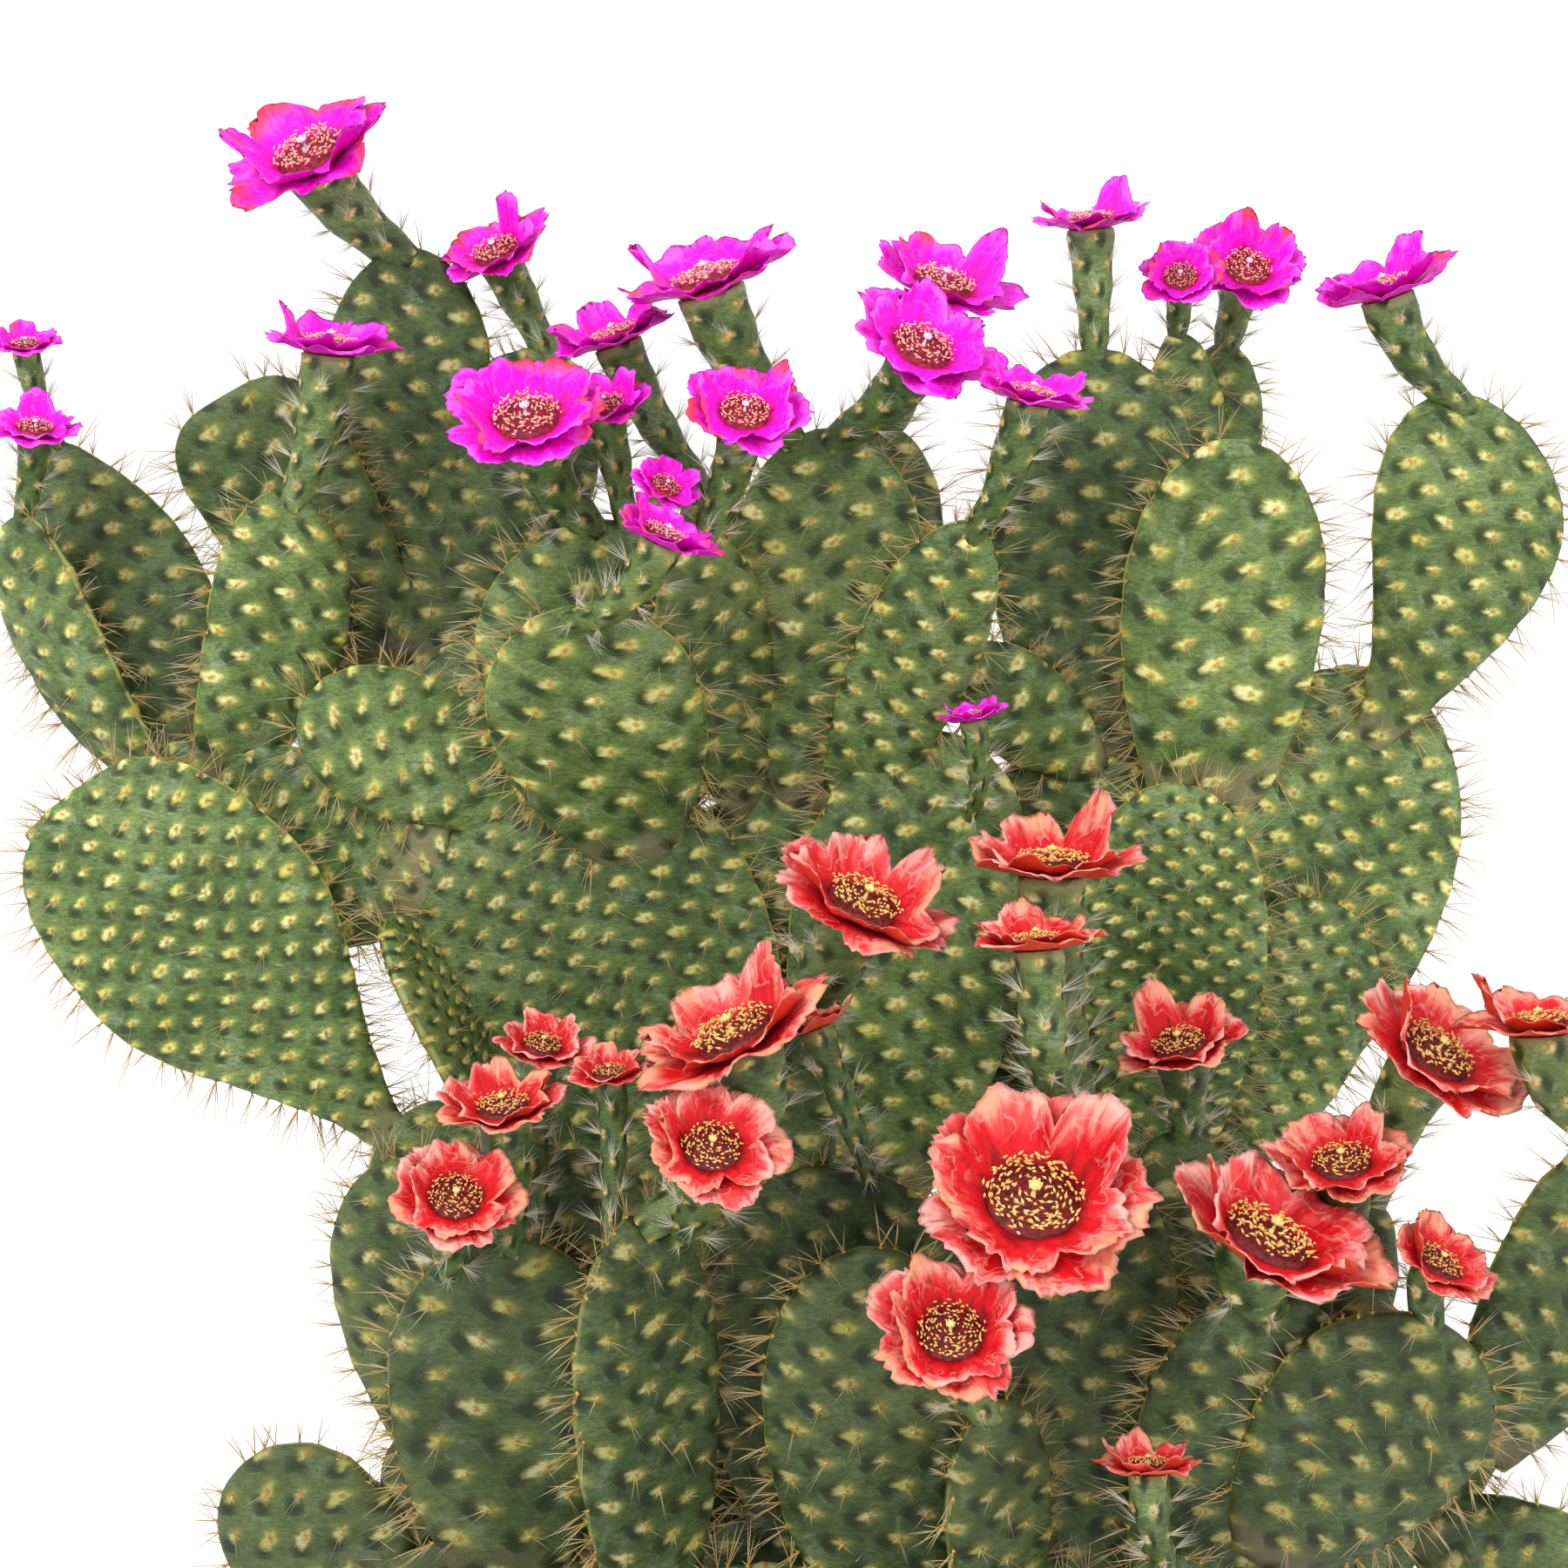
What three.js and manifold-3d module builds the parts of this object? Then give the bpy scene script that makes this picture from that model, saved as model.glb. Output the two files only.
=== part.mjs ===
// A potted prickly pear: flat pads grown one from another, long flower tubes on their rims,
// magenta blooms on the far stems, red blooms on the near ones, in a plain round pot of soil.
// Millimetres, +Z up, the origin under the middle of the pot, the front facing -Y.
import * as THREE from 'three';
import { mergeVertices } from 'three/addons/utils/BufferGeometryUtils.js';
import Module from 'manifold-3d';

const wasm = await Module();
wasm.setup();

// Driving dimensions
const POT = {
  height: 240,
  rimRadius: 200,
  rimHeight: 46,
  rimStep: 9,
  footRadius: 138,
  wall: 9,
  floor: 12,
  footChamfer: 4,
  sides: 20,
  drainRadius: 7,
  drainCircle: 70,
  drainCount: 3,
  drainSides: 12,
};
const SOIL_TOP = 222;
const GAP = 0.3;
const SOIL_CLEAR = 0.45;
const PAD = { thickness: 12, neck: 0.27, belly: 0.62, rise: 0.85, point: 0.5, sides: 6 };
const TUBE = { topRatio: 0.185, footRatio: 0.42, flare: 0.8, sides: 6 };
const BLOOM = {
  seat: 0.6,
  petals: 5,
  clear: 0.8,
  shortest: 0.9,
  longest: 1.06,
  lowest: 0.75,
  highest: 1.3,
  notchLift: 0.85,
  frontDroop: 0.45,
  firstStanding: 2,
  standingReach: 0.86,
};
const SPINE = { radius: 0.7, sides: 3, sunk: 2, short: 11, long: 17, leastShown: 0.6 };
const SPINE_LEAN = { sideways: 1.6, upwards: 1.4, uprightAt: 0.3, stray: 0.4, droop: 0.9 };
const BRISTLE = { radius: 0.55, length: 9, perTube: 2, apart: 3, lean: 0.5 };
const SMALLEST_SHARED_VOLUME = 0.001;

const GREEN = 0x55784f;
const MAGENTA = 0xf01fd0;
const RED = 0xd8323a;
const TERRACOTTA = 0xa9603f;
const EARTH = 0x3b2c22;

// Where a ring of points stands along a pad and a tube, from the foot (0) to the tip (1)
const PAD_RINGS = [-0.04, 0.04, 0.2, 0.42, 0.65, 0.86, 0.96, 1];
const TUBE_RINGS = [-0.06, 0, 0.5, 1, 1];

// The growth plan. Every pad goes from its foot, inside the pad it grew from, to its tip.
// turn: degrees about its own length, 0 shows the broad face to the front.
// sway: how far the middle line bulges sideways; bow: how far it bulges to the front.
// neck: the width at the foot and belly: the place of the widest part, as shares; a higher rise makes
// the neck leaner and a higher point makes the tip more pointed.
// A bloom's tube goes from its foot on a pad's rim to its seat, and the bloom looks towards face.
const bloomAt = (name, foot, seat, face, width) => ({ name, foot, seat, face, width });

const STEMS = [
  {
    name: 'stem_front_left',
    colour: RED,
    pads: [
      { foot: [-112, -58, -10], tip: [-108, -62, 84], width: 96 },
      { foot: [-103, -64, 62], tip: [-95, -80, 205], width: 86 },
      { foot: [-122, -56, 52], tip: [-126, -44, 124], width: 50 },
      { foot: [-128, -46, 104], tip: [-140, -38, 220], width: 66, turn: -15 },
      { foot: [-134, -58, 48], tip: [-202, -50, 104], width: 64 },
      { foot: [-84, -72, 138], tip: [-72, -46, 226], width: 58 },
    ],
    blooms: [
      bloomAt('red_left_front', [-96, -80, 199], [-96, -92, 253], [-0.09, -0.08, 0.99], 48),
      bloomAt('red_left_low', [-117, -78, 190], [-111, -110, 228], [0.16, -0.53, 0.84], 47),
      bloomAt('red_left_far', [-84, -79, 196], [-86, -57, 266], [0.2, -0.21, 0.96], 37),
    ],
  },
  {
    name: 'stem_front_dark',
    colour: RED,
    pads: [
      { foot: [8, -44, -10], tip: [10, -45, 90], width: 92 },
      { foot: [12, -45, 70], tip: [20, -45, 220], width: 102 },
      { foot: [2, -42, 185], tip: [-5, -35, 258], width: 42 },
    ],
    blooms: [
      bloomAt('red_upper_left', [-4, -36, 252], [26, -56, 316], [0.39, -0.25, 0.89], 70),
      bloomAt('red_side', [32, -45, 212], [11, -70, 277], [-0.37, 0.25, 0.89], 32),
    ],
  },
  {
    name: 'stem_front_middle',
    colour: RED,
    pads: [
      { foot: [-5, -82, -10], tip: [-5, -84, 84], width: 112 },
      { foot: [-44, -88, 50], tip: [-50, -97, 220], width: 62, turn: 40 },
      { foot: [34, -84, 58], tip: [30, -90, 205], width: 78 },
    ],
    blooms: [
      bloomAt('red_tilted', [-49, -97, 214], [-15, -93, 278], [-0.43, -0.09, 0.9], 74),
      bloomAt('red_middle_left', [-38, -88, 206], [-24, -125, 250], [0.08, -0.5, 0.86], 52),
      bloomAt('red_small_left', [-60, -105, 208], [-60, -84, 264], [-0.08, -0.08, 0.99], 30),
    ],
  },
  {
    name: 'stem_front_right',
    colour: RED,
    pads: [
      { foot: [112, -88, -10], tip: [112, -88, 80], width: 118 },
      { foot: [106, -82, 58], tip: [108, -58, 230], width: 68 },
      { foot: [130, -66, 142], tip: [146, -42, 232], width: 46 },
      { foot: [142, -90, 52], tip: [172, -96, 192], width: 74 },
      { foot: [166, -97, 92], tip: [228, -108, 182], width: 78 },
      { foot: [188, -95, 135], tip: [208, -62, 214], width: 32 },
      { foot: [80, -92, 52], tip: [70, -120, 160], width: 46, turn: 35 },
      { foot: [134, -94, 48], tip: [131, -125, 108], width: 32 },
    ],
    blooms: [
      bloomAt('red_column_top', [110, -59, 222], [95, -46, 327], [0.01, 0.07, 1], 66),
      bloomAt('red_column_low', [103, -61, 222], [86, -88, 310], [-0.07, 0.18, 0.98], 47),
      bloomAt('red_large', [98, -62, 212], [83, -116, 228], [0.03, -0.54, 0.84], 86),
      bloomAt('red_upper_right', [145, -43, 226], [142, -49, 263], [-0.24, -0.14, 0.96], 51),
      bloomAt('red_right_tilted', [168, -96, 186], [161, -113, 212], [0.38, -0.16, 0.91], 82),
      bloomAt('red_right_middle', [203, -66, 208], [193, -88, 232], [-0.18, -0.2, 0.95], 53),
      bloomAt('red_right_low', [224, -108, 176], [221, -108, 204], [0.41, -0.24, 0.88], 42),
      bloomAt('red_right_high', [209, -61, 209], [225, -72, 266], [0.43, -0.32, 0.84], 70),
      bloomAt('red_low_facing', [70, -120, 155], [55, -139, 191], [-0.07, -0.52, 0.85], 58),
      bloomAt('red_small_low', [131, -125, 102], [122, -132, 141], [-0.01, 0.27, 0.96], 38),
    ],
  },
  {
    name: 'stem_front_far_right',
    colour: RED,
    pads: [
      { foot: [144, -48, -10], tip: [256, -68, 130], width: 46, sway: 8 },
      { foot: [252, -67, 116], tip: [308, -80, 245], width: 66 },
      { foot: [228, -62, 92], tip: [300, -95, 62], width: 58 },
    ],
    blooms: [
      bloomAt('red_right_edge', [290, -80, 240], [258, -90, 281], [-0.09, 0.17, 0.98], 56),
    ],
  },
  {
    name: 'stem_back_left',
    colour: MAGENTA,
    pads: [
      { foot: [-110, 54, -10], tip: [-122, 57, 116], width: 84 },
      { foot: [-122, 57, 96], tip: [-140, 60, 212], width: 72 },
      { foot: [-150, 60, 188], tip: [-280, 55, 337], width: 108, neck: 0.12, rise: 1.7, point: 0.3 },
      { foot: [-112, 61, 186], tip: [-158, 66, 286], width: 66, turn: 80, bow: 6 },
    ],
    blooms: [],
  },
  {
    name: 'stem_back_middle',
    colour: MAGENTA,
    pads: [
      { foot: [-5, 72, -10], tip: [-5, 72, 112], width: 120 },
      { foot: [-5, 72, 90], tip: [-5, 70, 198], width: 112 },
      { foot: [-28, 68, 164], tip: [-108, 80, 340], width: 142 },
      { foot: [-4, 74, 172], tip: [0, 95, 340], width: 90 },
      { foot: [35, 68, 158], tip: [62, 80, 360], width: 98 },
      { foot: [-135, 80, 306], tip: [-310, 95, 314], width: 90, neck: 0.5, belly: 0.52, point: 0.95 },
      { foot: [-112, 80, 315], tip: [-152, 122, 394], width: 72 },
      { foot: [-96, 80, 331], tip: [-191, 68, 371], width: 60 },
      { foot: [-58, 76, 306], tip: [-82, 26, 415], width: 84 },
      { foot: [-62, 78, 312], tip: [-72, 62, 445], width: 106 },
      { foot: [-162, 120, 376], tip: [-150, 125, 550], width: 68, neck: 0.5, belly: 0.7 },
      { foot: [-160, 118, 376], tip: [-224, 104, 492], width: 68, neck: 0.45, belly: 0.8, point: 0.3 },
      { foot: [-231, 88, 332], tip: [-194, 70, 455], width: 56, turn: 20, sway: -9 },
      { foot: [-250, 92, 338], tip: [-293, 108, 475], width: 82, belly: 0.46, point: 0.95 },
      { foot: [-254, 88, 338], tip: [-300, 70, 446], width: 50, turn: -35, sway: 13 },
      { foot: [-152, 114, 375], tip: [-92, 128, 508], width: 72 },
      { foot: [-15, 91, 325], tip: [-35, 40, 440], width: 54, turn: 35 },
      { foot: [-12, 94, 325], tip: [-30, 92, 460], width: 42 },
      { foot: [12, 92, 322], tip: [19, 70, 480], width: 78 },
      { foot: [24, 92, 325], tip: [40, 112, 480], width: 62 },
      { foot: [22, 90, 318], tip: [72, 42, 445], width: 48 },
    ],
    blooms: [
      bloomAt('magenta_top_left', [-150, 125, 544], [-187, 114, 583], [-0.33, -0.52, 0.79], 74),
      bloomAt('magenta_left_small', [-93, 128, 502], [-115, 122, 546], [-0.34, -0.46, 0.82], 50),
      bloomAt('magenta_left_flat', [-193, 71, 449], [-175, 66, 508], [0.11, -0.02, 0.99], 58),
      bloomAt('magenta_far_left', [-299, 71, 441], [-289, 63, 478], [0.16, -0.28, 0.95], 36),
      bloomAt('magenta_far_left_high', [-292, 107, 470], [-301, 99, 510], [-0.01, -0.26, 0.97], 30),
      bloomAt('magenta_facing', [-72, 62, 440], [-96, 36, 482], [-0.09, -0.56, 0.82], 66),
      bloomAt('magenta_under', [-31, 92, 454], [-65, 84, 512], [-0.34, -0.09, 0.94], 52),
      bloomAt('magenta_behind', [-60, 62, 438], [-68, 52, 487], [-0.13, -0.4, 0.91], 40),
      bloomAt('magenta_high_middle', [4, 71, 474], [-28, 64, 532], [-0.29, -0.14, 0.95], 72),
      bloomAt('magenta_middle', [-34, 42, 434], [-15, 25, 485], [0.12, -0.59, 0.8], 50),
      bloomAt('magenta_middle_low', [-40, 44, 430], [-45, 27, 459], [0.44, -0.49, 0.76], 29),
      bloomAt('magenta_sloping', [-84, 28, 409], [-44, -9, 442], [0.4, -0.09, 0.91], 44),
      bloomAt('magenta_right_facing', [17, 71, 474], [51, 49, 508], [0.33, -0.53, 0.78], 62),
      bloomAt('magenta_right_high', [40, 112, 474], [62, 104, 532], [0.28, -0.33, 0.9], 64),
      bloomAt('magenta_right_flat', [71, 43, 439], [91, 24, 491], [0.2, -0.09, 0.98], 48),
      bloomAt('magenta_bud', [74, 76, 324], [73, 44, 369], [-0.2, 0.08, 0.98], 28),
    ],
  },
  {
    name: 'stem_back_right',
    colour: MAGENTA,
    pads: [
      { foot: [128, 70, -10], tip: [142, 72, 114], width: 90 },
      { foot: [142, 72, 94], tip: [165, 70, 192], width: 82 },
      { foot: [148, 74, 162], tip: [110, 100, 352], width: 98 },
      { foot: [155, 70, 172], tip: [150, 42, 345], width: 78 },
      { foot: [168, 72, 184], tip: [245, 105, 380], width: 112, sway: -3 },
      { foot: [172, 70, 174], tip: [222, 76, 290], width: 72 },
      { foot: [124, 98, 335], tip: [125, 112, 510], width: 86, belly: 0.66 },
      { foot: [172, 92, 326], tip: [174, 60, 476], width: 80, neck: 0.5, belly: 0.58 },
      { foot: [128, 96, 340], tip: [68, 78, 390], width: 42 },
      { foot: [126, 100, 330], tip: [182, 138, 440], width: 50 },
      { foot: [179, 136, 428], tip: [161, 136, 516], width: 34, turn: 30 },
      { foot: [182, 137, 428], tip: [184, 156, 512], width: 34 },
      { foot: [233, 98, 346], tip: [272, 90, 492], width: 78, sway: -16, belly: 0.7, neck: 0.2, rise: 1.5 },
      { foot: [134, 74, 128], tip: [88, 104, 258], width: 64 },
    ],
    blooms: [
      bloomAt('magenta_right_column', [125, 112, 504], [122, 110, 557], [-0.08, -0.07, 0.99], 50),
      bloomAt('magenta_pair_left', [161, 136, 510], [160, 121, 537], [-0.11, -0.72, 0.68], 35),
      bloomAt('magenta_pair_right', [184, 156, 506], [189, 137, 540], [0.08, -0.69, 0.72], 50),
      bloomAt('magenta_far_right', [272, 90, 486], [235, 82, 530], [-0.31, -0.04, 0.95], 57),
    ],
  },
];

// Repeatable random numbers: the same plant every time
let seed = 20417;
function random() {
  seed = (seed + 0x6d2b79f5) | 0;
  let mixed = Math.imul(seed ^ (seed >>> 15), 1 | seed);
  mixed = (mixed + Math.imul(mixed ^ (mixed >>> 7), 61 | mixed)) ^ mixed;
  return ((mixed ^ (mixed >>> 14)) >>> 0) / 4294967296;
}
function between(low, high) {
  return low + (high - low) * random();
}

// The growth plan gives heights above the soil
function planted([x, y, height]) {
  return new THREE.Vector3(x, y, SOIL_TOP + height);
}

function mix(a, b, share) {
  return a + (b - a) * share;
}

// Rounds a circle's points out towards a box, for a section with flat faces
function squared(value) {
  return Math.abs(value) < 1e-9 ? 0 : Math.sign(value) * Math.sqrt(Math.abs(value));
}

// A three.js geometry becomes a closed solid
function solid(geometry) {
  const bare = geometry.index ? geometry.clone() : geometry;
  bare.deleteAttribute('normal');
  bare.deleteAttribute('uv');
  const welded = mergeVertices(bare, 1e-4);
  return new wasm.Manifold(new wasm.Mesh({
    numProp: 3,
    vertProperties: Float32Array.from(welded.attributes.position.array),
    triVerts: Uint32Array.from(welded.index.array),
  }));
}

// A closed skin over rings of points: place(row, turn) gives each point, the end rows close in one point
function skin(sides, rows, place) {
  const geometry = new THREE.SphereGeometry(1, sides, rows - 1);
  const spots = geometry.attributes.position;
  for (let row = 0; row < rows; row += 1) {
    for (let column = 0; column <= sides; column += 1) {
      const turn = ((column % sides) / sides) * 2 * Math.PI;
      const spot = place(row, turn);
      spots.setXYZ(row * (sides + 1) + column, spot.x, spot.y, spot.z);
    }
  }
  return solid(geometry);
}

// The directions of a flat thing: along it, across it, and out of its face
function frameOf(foot, tip, turn = 0) {
  const along = tip.clone().sub(foot);
  const length = along.length();
  along.normalize();
  const face = new THREE.Vector3(0, -1, 0).addScaledVector(along, along.y).normalize();
  face.applyAxisAngle(along, THREE.MathUtils.degToRad(turn));
  const across = face.clone().cross(along);
  return { along, across, face, length };
}

// Half the width of a pad, as a share of its widest, at a share of its length
function padOutline(share, { neck, belly, rise, point }) {
  if (share <= 0) {
    return neck;
  }
  if (share < belly) {
    return mix(neck, 1, Math.sin((Math.PI / 2) * (share / belly) ** rise));
  }
  return Math.max(0, 1 - ((share - belly) / (1 - belly)) ** 2) ** point;
}

// A pad's middle line, directions and outline, for its skin and for the spines on it
function padForm(plan) {
  const foot = planted(plan.foot);
  const tip = planted(plan.tip);
  const frame = frameOf(foot, tip, plan.turn);
  const shape = { ...PAD, ...plan };
  const bulge = (share) => 4 * share * (1 - share);
  return {
    ...frame,
    halfWidth: (share) => (plan.width / 2) * padOutline(share, shape),
    halfThickness: (share) => (PAD.thickness / 2) * Math.sqrt(padOutline(share, shape)),
    middle: (share) => foot.clone()
      .addScaledVector(frame.along, frame.length * share)
      .addScaledVector(frame.across, (plan.sway ?? 0) * bulge(share))
      .addScaledVector(frame.face, (plan.bow ?? 0) * bulge(share)),
  };
}

// Where the points of a pad's skin stand, row by row and round each row
function padPlaces(plan, grow = 0) {
  const form = padForm(plan);
  return (row, turn) => {
    const share = PAD_RINGS[row];
    const spot = form.middle(share);
    if (row === 0 || row === PAD_RINGS.length - 1) {
      return spot.addScaledVector(form.along, Math.sign(share - 0.5) * grow);
    }
    return spot
      .addScaledVector(form.across, -squared(Math.cos(turn)) * (form.halfWidth(share) + grow))
      .addScaledVector(form.face, squared(Math.sin(turn)) * (form.halfThickness(share) + grow));
  };
}

function padSolid(plan, grow = 0) {
  return skin(PAD.sides, PAD_RINGS.length, padPlaces(plan, grow));
}

// A flower tube bends from its foot to look where its bloom looks
function tubeForm(plan) {
  const foot = planted(plan.foot);
  const seat = planted(plan.seat);
  const look = new THREE.Vector3(...plan.face).normalize();
  const reach = foot.distanceTo(seat);
  const elbow = seat.clone().addScaledVector(look, -reach / 2);
  const curve = new THREE.QuadraticBezierCurve3(foot, elbow, seat);
  const topRadius = plan.width * TUBE.topRatio;
  return {
    curve,
    look,
    reach,
    radius: (share) => topRadius * mix(TUBE.footRatio, 1, Math.max(0, share) ** TUBE.flare),
  };
}

function tubePlaces(plan, grow = 0) {
  const form = tubeForm(plan);
  return (row, turn) => {
    const share = TUBE_RINGS[row];
    const along = form.curve.getTangent(Math.max(0, share));
    const spot = form.curve.getPoint(Math.max(0, share));
    spot.addScaledVector(along, Math.min(0, share) * form.reach + (share === 1 ? grow : 0));
    if (row === 0 || row === TUBE_RINGS.length - 1) {
      return spot;
    }
    const side = new THREE.Vector3(0, 1, 0).cross(along).normalize();
    const other = along.clone().cross(side);
    const radius = form.radius(share) + grow;
    return spot
      .addScaledVector(side, -Math.cos(turn) * radius)
      .addScaledVector(other, Math.sin(turn) * radius);
  };
}

function tubeSolid(plan, grow = 0) {
  return skin(TUBE.sides, TUBE_RINGS.length, tubePlaces(plan, grow));
}

// A bloom is turned from its seat out: under the outer petals, over them, down between the two
// rings of petals, over the inner petals and down to the dome of stamens in the middle.
// far and high are shares of the bloom's width, out from its middle and up from its seat;
// petals says which ring of petals the row belongs to, or the fold between the two rings, and edge
// which way the skin lies from its inside.
const BLOOM_ROWS = [
  { far: 0, high: 0, edge: [0, -1] },
  { far: 0.17, high: 0, edge: [0.7, -0.7] },
  { far: 0.5, high: 0.12, petals: 'outer', edge: [1, -1] },
  { far: 0.5, high: 0.145, petals: 'outer', edge: [1, 1] },
  { far: 0.27, high: 0.088, petals: 'fold', edge: [0, 1] },
  { far: 0.4, high: 0.22, petals: 'inner', edge: [0.5, 1] },
  { far: 0.15, high: 0.09, edge: [0, 1] },
  { far: 0, high: 0.14, edge: [0, 1] },
];

// firstPetal: the column of a ring's first petal; notch: how far out the edge runs between two petals;
// standing: how much higher than the rest one petal of the ring stands
const PETAL_RINGS = [
  { ring: 'outer', firstPetal: 0, notch: 0.82, standing: 1 },
  { ring: 'inner', firstPetal: 1, notch: 0.8, standing: 1.6 },
];

// How far out and how high the edge of the petals runs, column by column: a petal, a notch, a petal.
// The columns go round from the right by the front; the front petals lie lower and one at the back stands.
function petalEdges() {
  const lifts = Array.from({ length: BLOOM.petals * 2 }, (unused, column) => {
    const inFront = Math.max(0, Math.sin((column / BLOOM.petals) * Math.PI));
    return between(BLOOM.lowest, BLOOM.highest) * (1 - BLOOM.frontDroop * inFront);
  });
  const edges = { fold: lifts.map((lift) => ({ reach: 1, lift })) };
  for (const { ring, firstPetal, notch, standing } of PETAL_RINGS) {
    const raised = Math.floor(between(BLOOM.firstStanding, BLOOM.petals));
    edges[ring] = lifts.map((petalLift, column) => {
      const isPetal = column % 2 === firstPetal;
      const stands = isPetal && Math.floor(column / 2) === raised;
      const reach = between(BLOOM.shortest, BLOOM.longest) * (isPetal ? 1 : notch);
      const lift = petalLift * (isPetal ? 1 : BLOOM.notchLift);
      return stands ? { reach: reach * BLOOM.standingReach, lift: lift * standing } : { reach, lift };
    });
  }
  return edges;
}

function bloomSolid(plan, edges, grow = 0) {
  const seat = planted(plan.seat);
  const look = new THREE.Vector3(...plan.face).normalize();
  const frame = frameOf(seat, seat.clone().add(look));
  const columns = BLOOM.petals * 2;
  return skin(columns, BLOOM_ROWS.length, (row, turn) => {
    const { far, high, petals, edge } = BLOOM_ROWS[row];
    const column = Math.round((turn / (2 * Math.PI)) * columns);
    const { reach, lift } = petals ? edges[petals][column] : { reach: 1, lift: 1 };
    const out = far === 0 ? 0 : far * reach * plan.width + edge[0] * grow;
    return seat.clone()
      .addScaledVector(frame.along, BLOOM.seat + high * lift * plan.width + edge[1] * grow)
      .addScaledVector(frame.across, -Math.cos(turn) * out)
      .addScaledVector(frame.face, Math.sin(turn) * out);
  });
}

function joined(parts) {
  return wasm.Manifold.union(parts);
}

function boxesMeet(a, b) {
  return a.min.every((low, axis) => low <= b.max[axis] && b.min[axis] <= a.max[axis]);
}

function meets(a, b) {
  return boxesMeet(a.boundingBox(), b.boundingBox())
    && a.intersect(b).volume() > SMALLEST_SHARED_VOLUME;
}

// The largest body is the thing itself; crumbs that a cut leaves over are dropped
function mainBody(shape) {
  const bodies = shape.decompose();
  bodies.sort((a, b) => b.volume() - a.volume());
  return bodies[0];
}

// A spine is a thin three-sided needle, its root sunk in the flesh
function needle(root, direction, length, radius) {
  const geometry = new THREE.ConeGeometry(radius, length + SPINE.sunk, SPINE.sides);
  geometry.translate(0, (length - SPINE.sunk) / 2, 0);
  const turn = new THREE.Quaternion().setFromUnitVectors(new THREE.Vector3(0, 1, 0), direction);
  geometry.applyQuaternion(turn);
  geometry.translate(root.x, root.y, root.z);
  return solid(geometry);
}

// The middle and the outward direction of one of a skin's facets
function facetOf(places, sides, row, column, nearTip) {
  const corner = (down, right) => places(row + down, (((column + right) % sides) / sides) * 2 * Math.PI);
  const [a, b] = nearTip ? [corner(0, 0), corner(1, 0)] : [corner(0, 1), corner(0, 0)];
  const c = corner(1, 1);
  const middle = a.clone().add(b).add(c).divideScalar(3);
  const out = b.clone().sub(a).cross(c.clone().sub(a)).normalize();
  return { middle, out };
}

// Spines along both sides of a pad's rim and on its faces, each standing in the middle of a facet.
// band counts the facets from foot to tip, facet goes round a band: 0 front left, 1 front,
// 2 front right, 3 back right, 4 back, 5 back left; side is -1 or 1 on the rim and 0 on a face.
const SPINE_PLACES = [
  { band: 3, facet: 3, side: 1 },
  { band: 3, facet: 5, side: -1 },
  { band: 4, facet: 0, side: -1 },
  { band: 4, facet: 2, side: 1 },
  { band: 4, facet: 4, side: 0 },
  { band: 5, facet: 3, side: 1 },
  { band: 5, facet: 5, side: -1 },
];

function padNeedles(plan) {
  const form = padForm(plan);
  const places = padPlaces(plan);
  return SPINE_PLACES.map(({ band, facet, side }) => {
    const { middle, out } = facetOf(places, PAD.sides, band, facet, random() < 0.5);
    const rise = Math.max(0, (PAD_RINGS[band] - SPINE_LEAN.uprightAt) * SPINE_LEAN.upwards);
    const stray = between(-SPINE_LEAN.stray, SPINE_LEAN.stray);
    const direction = out.clone()
      .addScaledVector(form.across, side * SPINE_LEAN.sideways + stray)
      .addScaledVector(form.along, side === 0 ? between(-SPINE_LEAN.droop, 0) : rise - stray)
      .normalize();
    return needle(middle, direction, between(SPINE.short, SPINE.long), SPINE.radius);
  });
}

// Bristles round a flower tube
function tubeNeedles(plan) {
  const form = tubeForm(plan);
  const places = tubePlaces(plan);
  const start = Math.floor(between(0, TUBE.sides));
  return Array.from({ length: BRISTLE.perTube }, (unused, index) => {
    const column = (start + index * BRISTLE.apart) % TUBE.sides;
    const { middle, out } = facetOf(places, TUBE.sides, 1 + (index % 2), column, random() < 0.5);
    const direction = out.clone().addScaledVector(form.look, BRISTLE.lean).normalize();
    return needle(middle, direction, BRISTLE.length, BRISTLE.radius);
  });
}

// The pot: a turned profile with a collar, open at the top, with drain holes off its middle
function potSolid() {
  const collarFoot = POT.height - POT.rimHeight;
  const bodyTop = POT.rimRadius - POT.rimStep;
  const profile = [
    [0, 0],
    [POT.footRadius - POT.footChamfer, 0],
    [POT.footRadius, POT.footChamfer],
    [bodyTop, collarFoot],
    [POT.rimRadius, collarFoot],
    [POT.rimRadius, POT.height],
    [POT.rimRadius - POT.wall, POT.height],
    [bodyTop - POT.wall, collarFoot],
    [POT.footRadius - POT.wall, POT.floor],
    [0, POT.floor],
  ];
  let pot = turned(profile);
  for (let index = 0; index < POT.drainCount; index += 1) {
    const angle = (index / POT.drainCount) * 2 * Math.PI;
    const depth = 3 * POT.floor;
    const drill = new THREE.CylinderGeometry(POT.drainRadius, POT.drainRadius, depth, POT.drainSides);
    drill.rotateX(Math.PI / 2);
    drill.translate(POT.drainCircle * Math.cos(angle), POT.drainCircle * Math.sin(angle), 0);
    pot = pot.subtract(solid(drill));
  }
  return pot;
}

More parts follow.
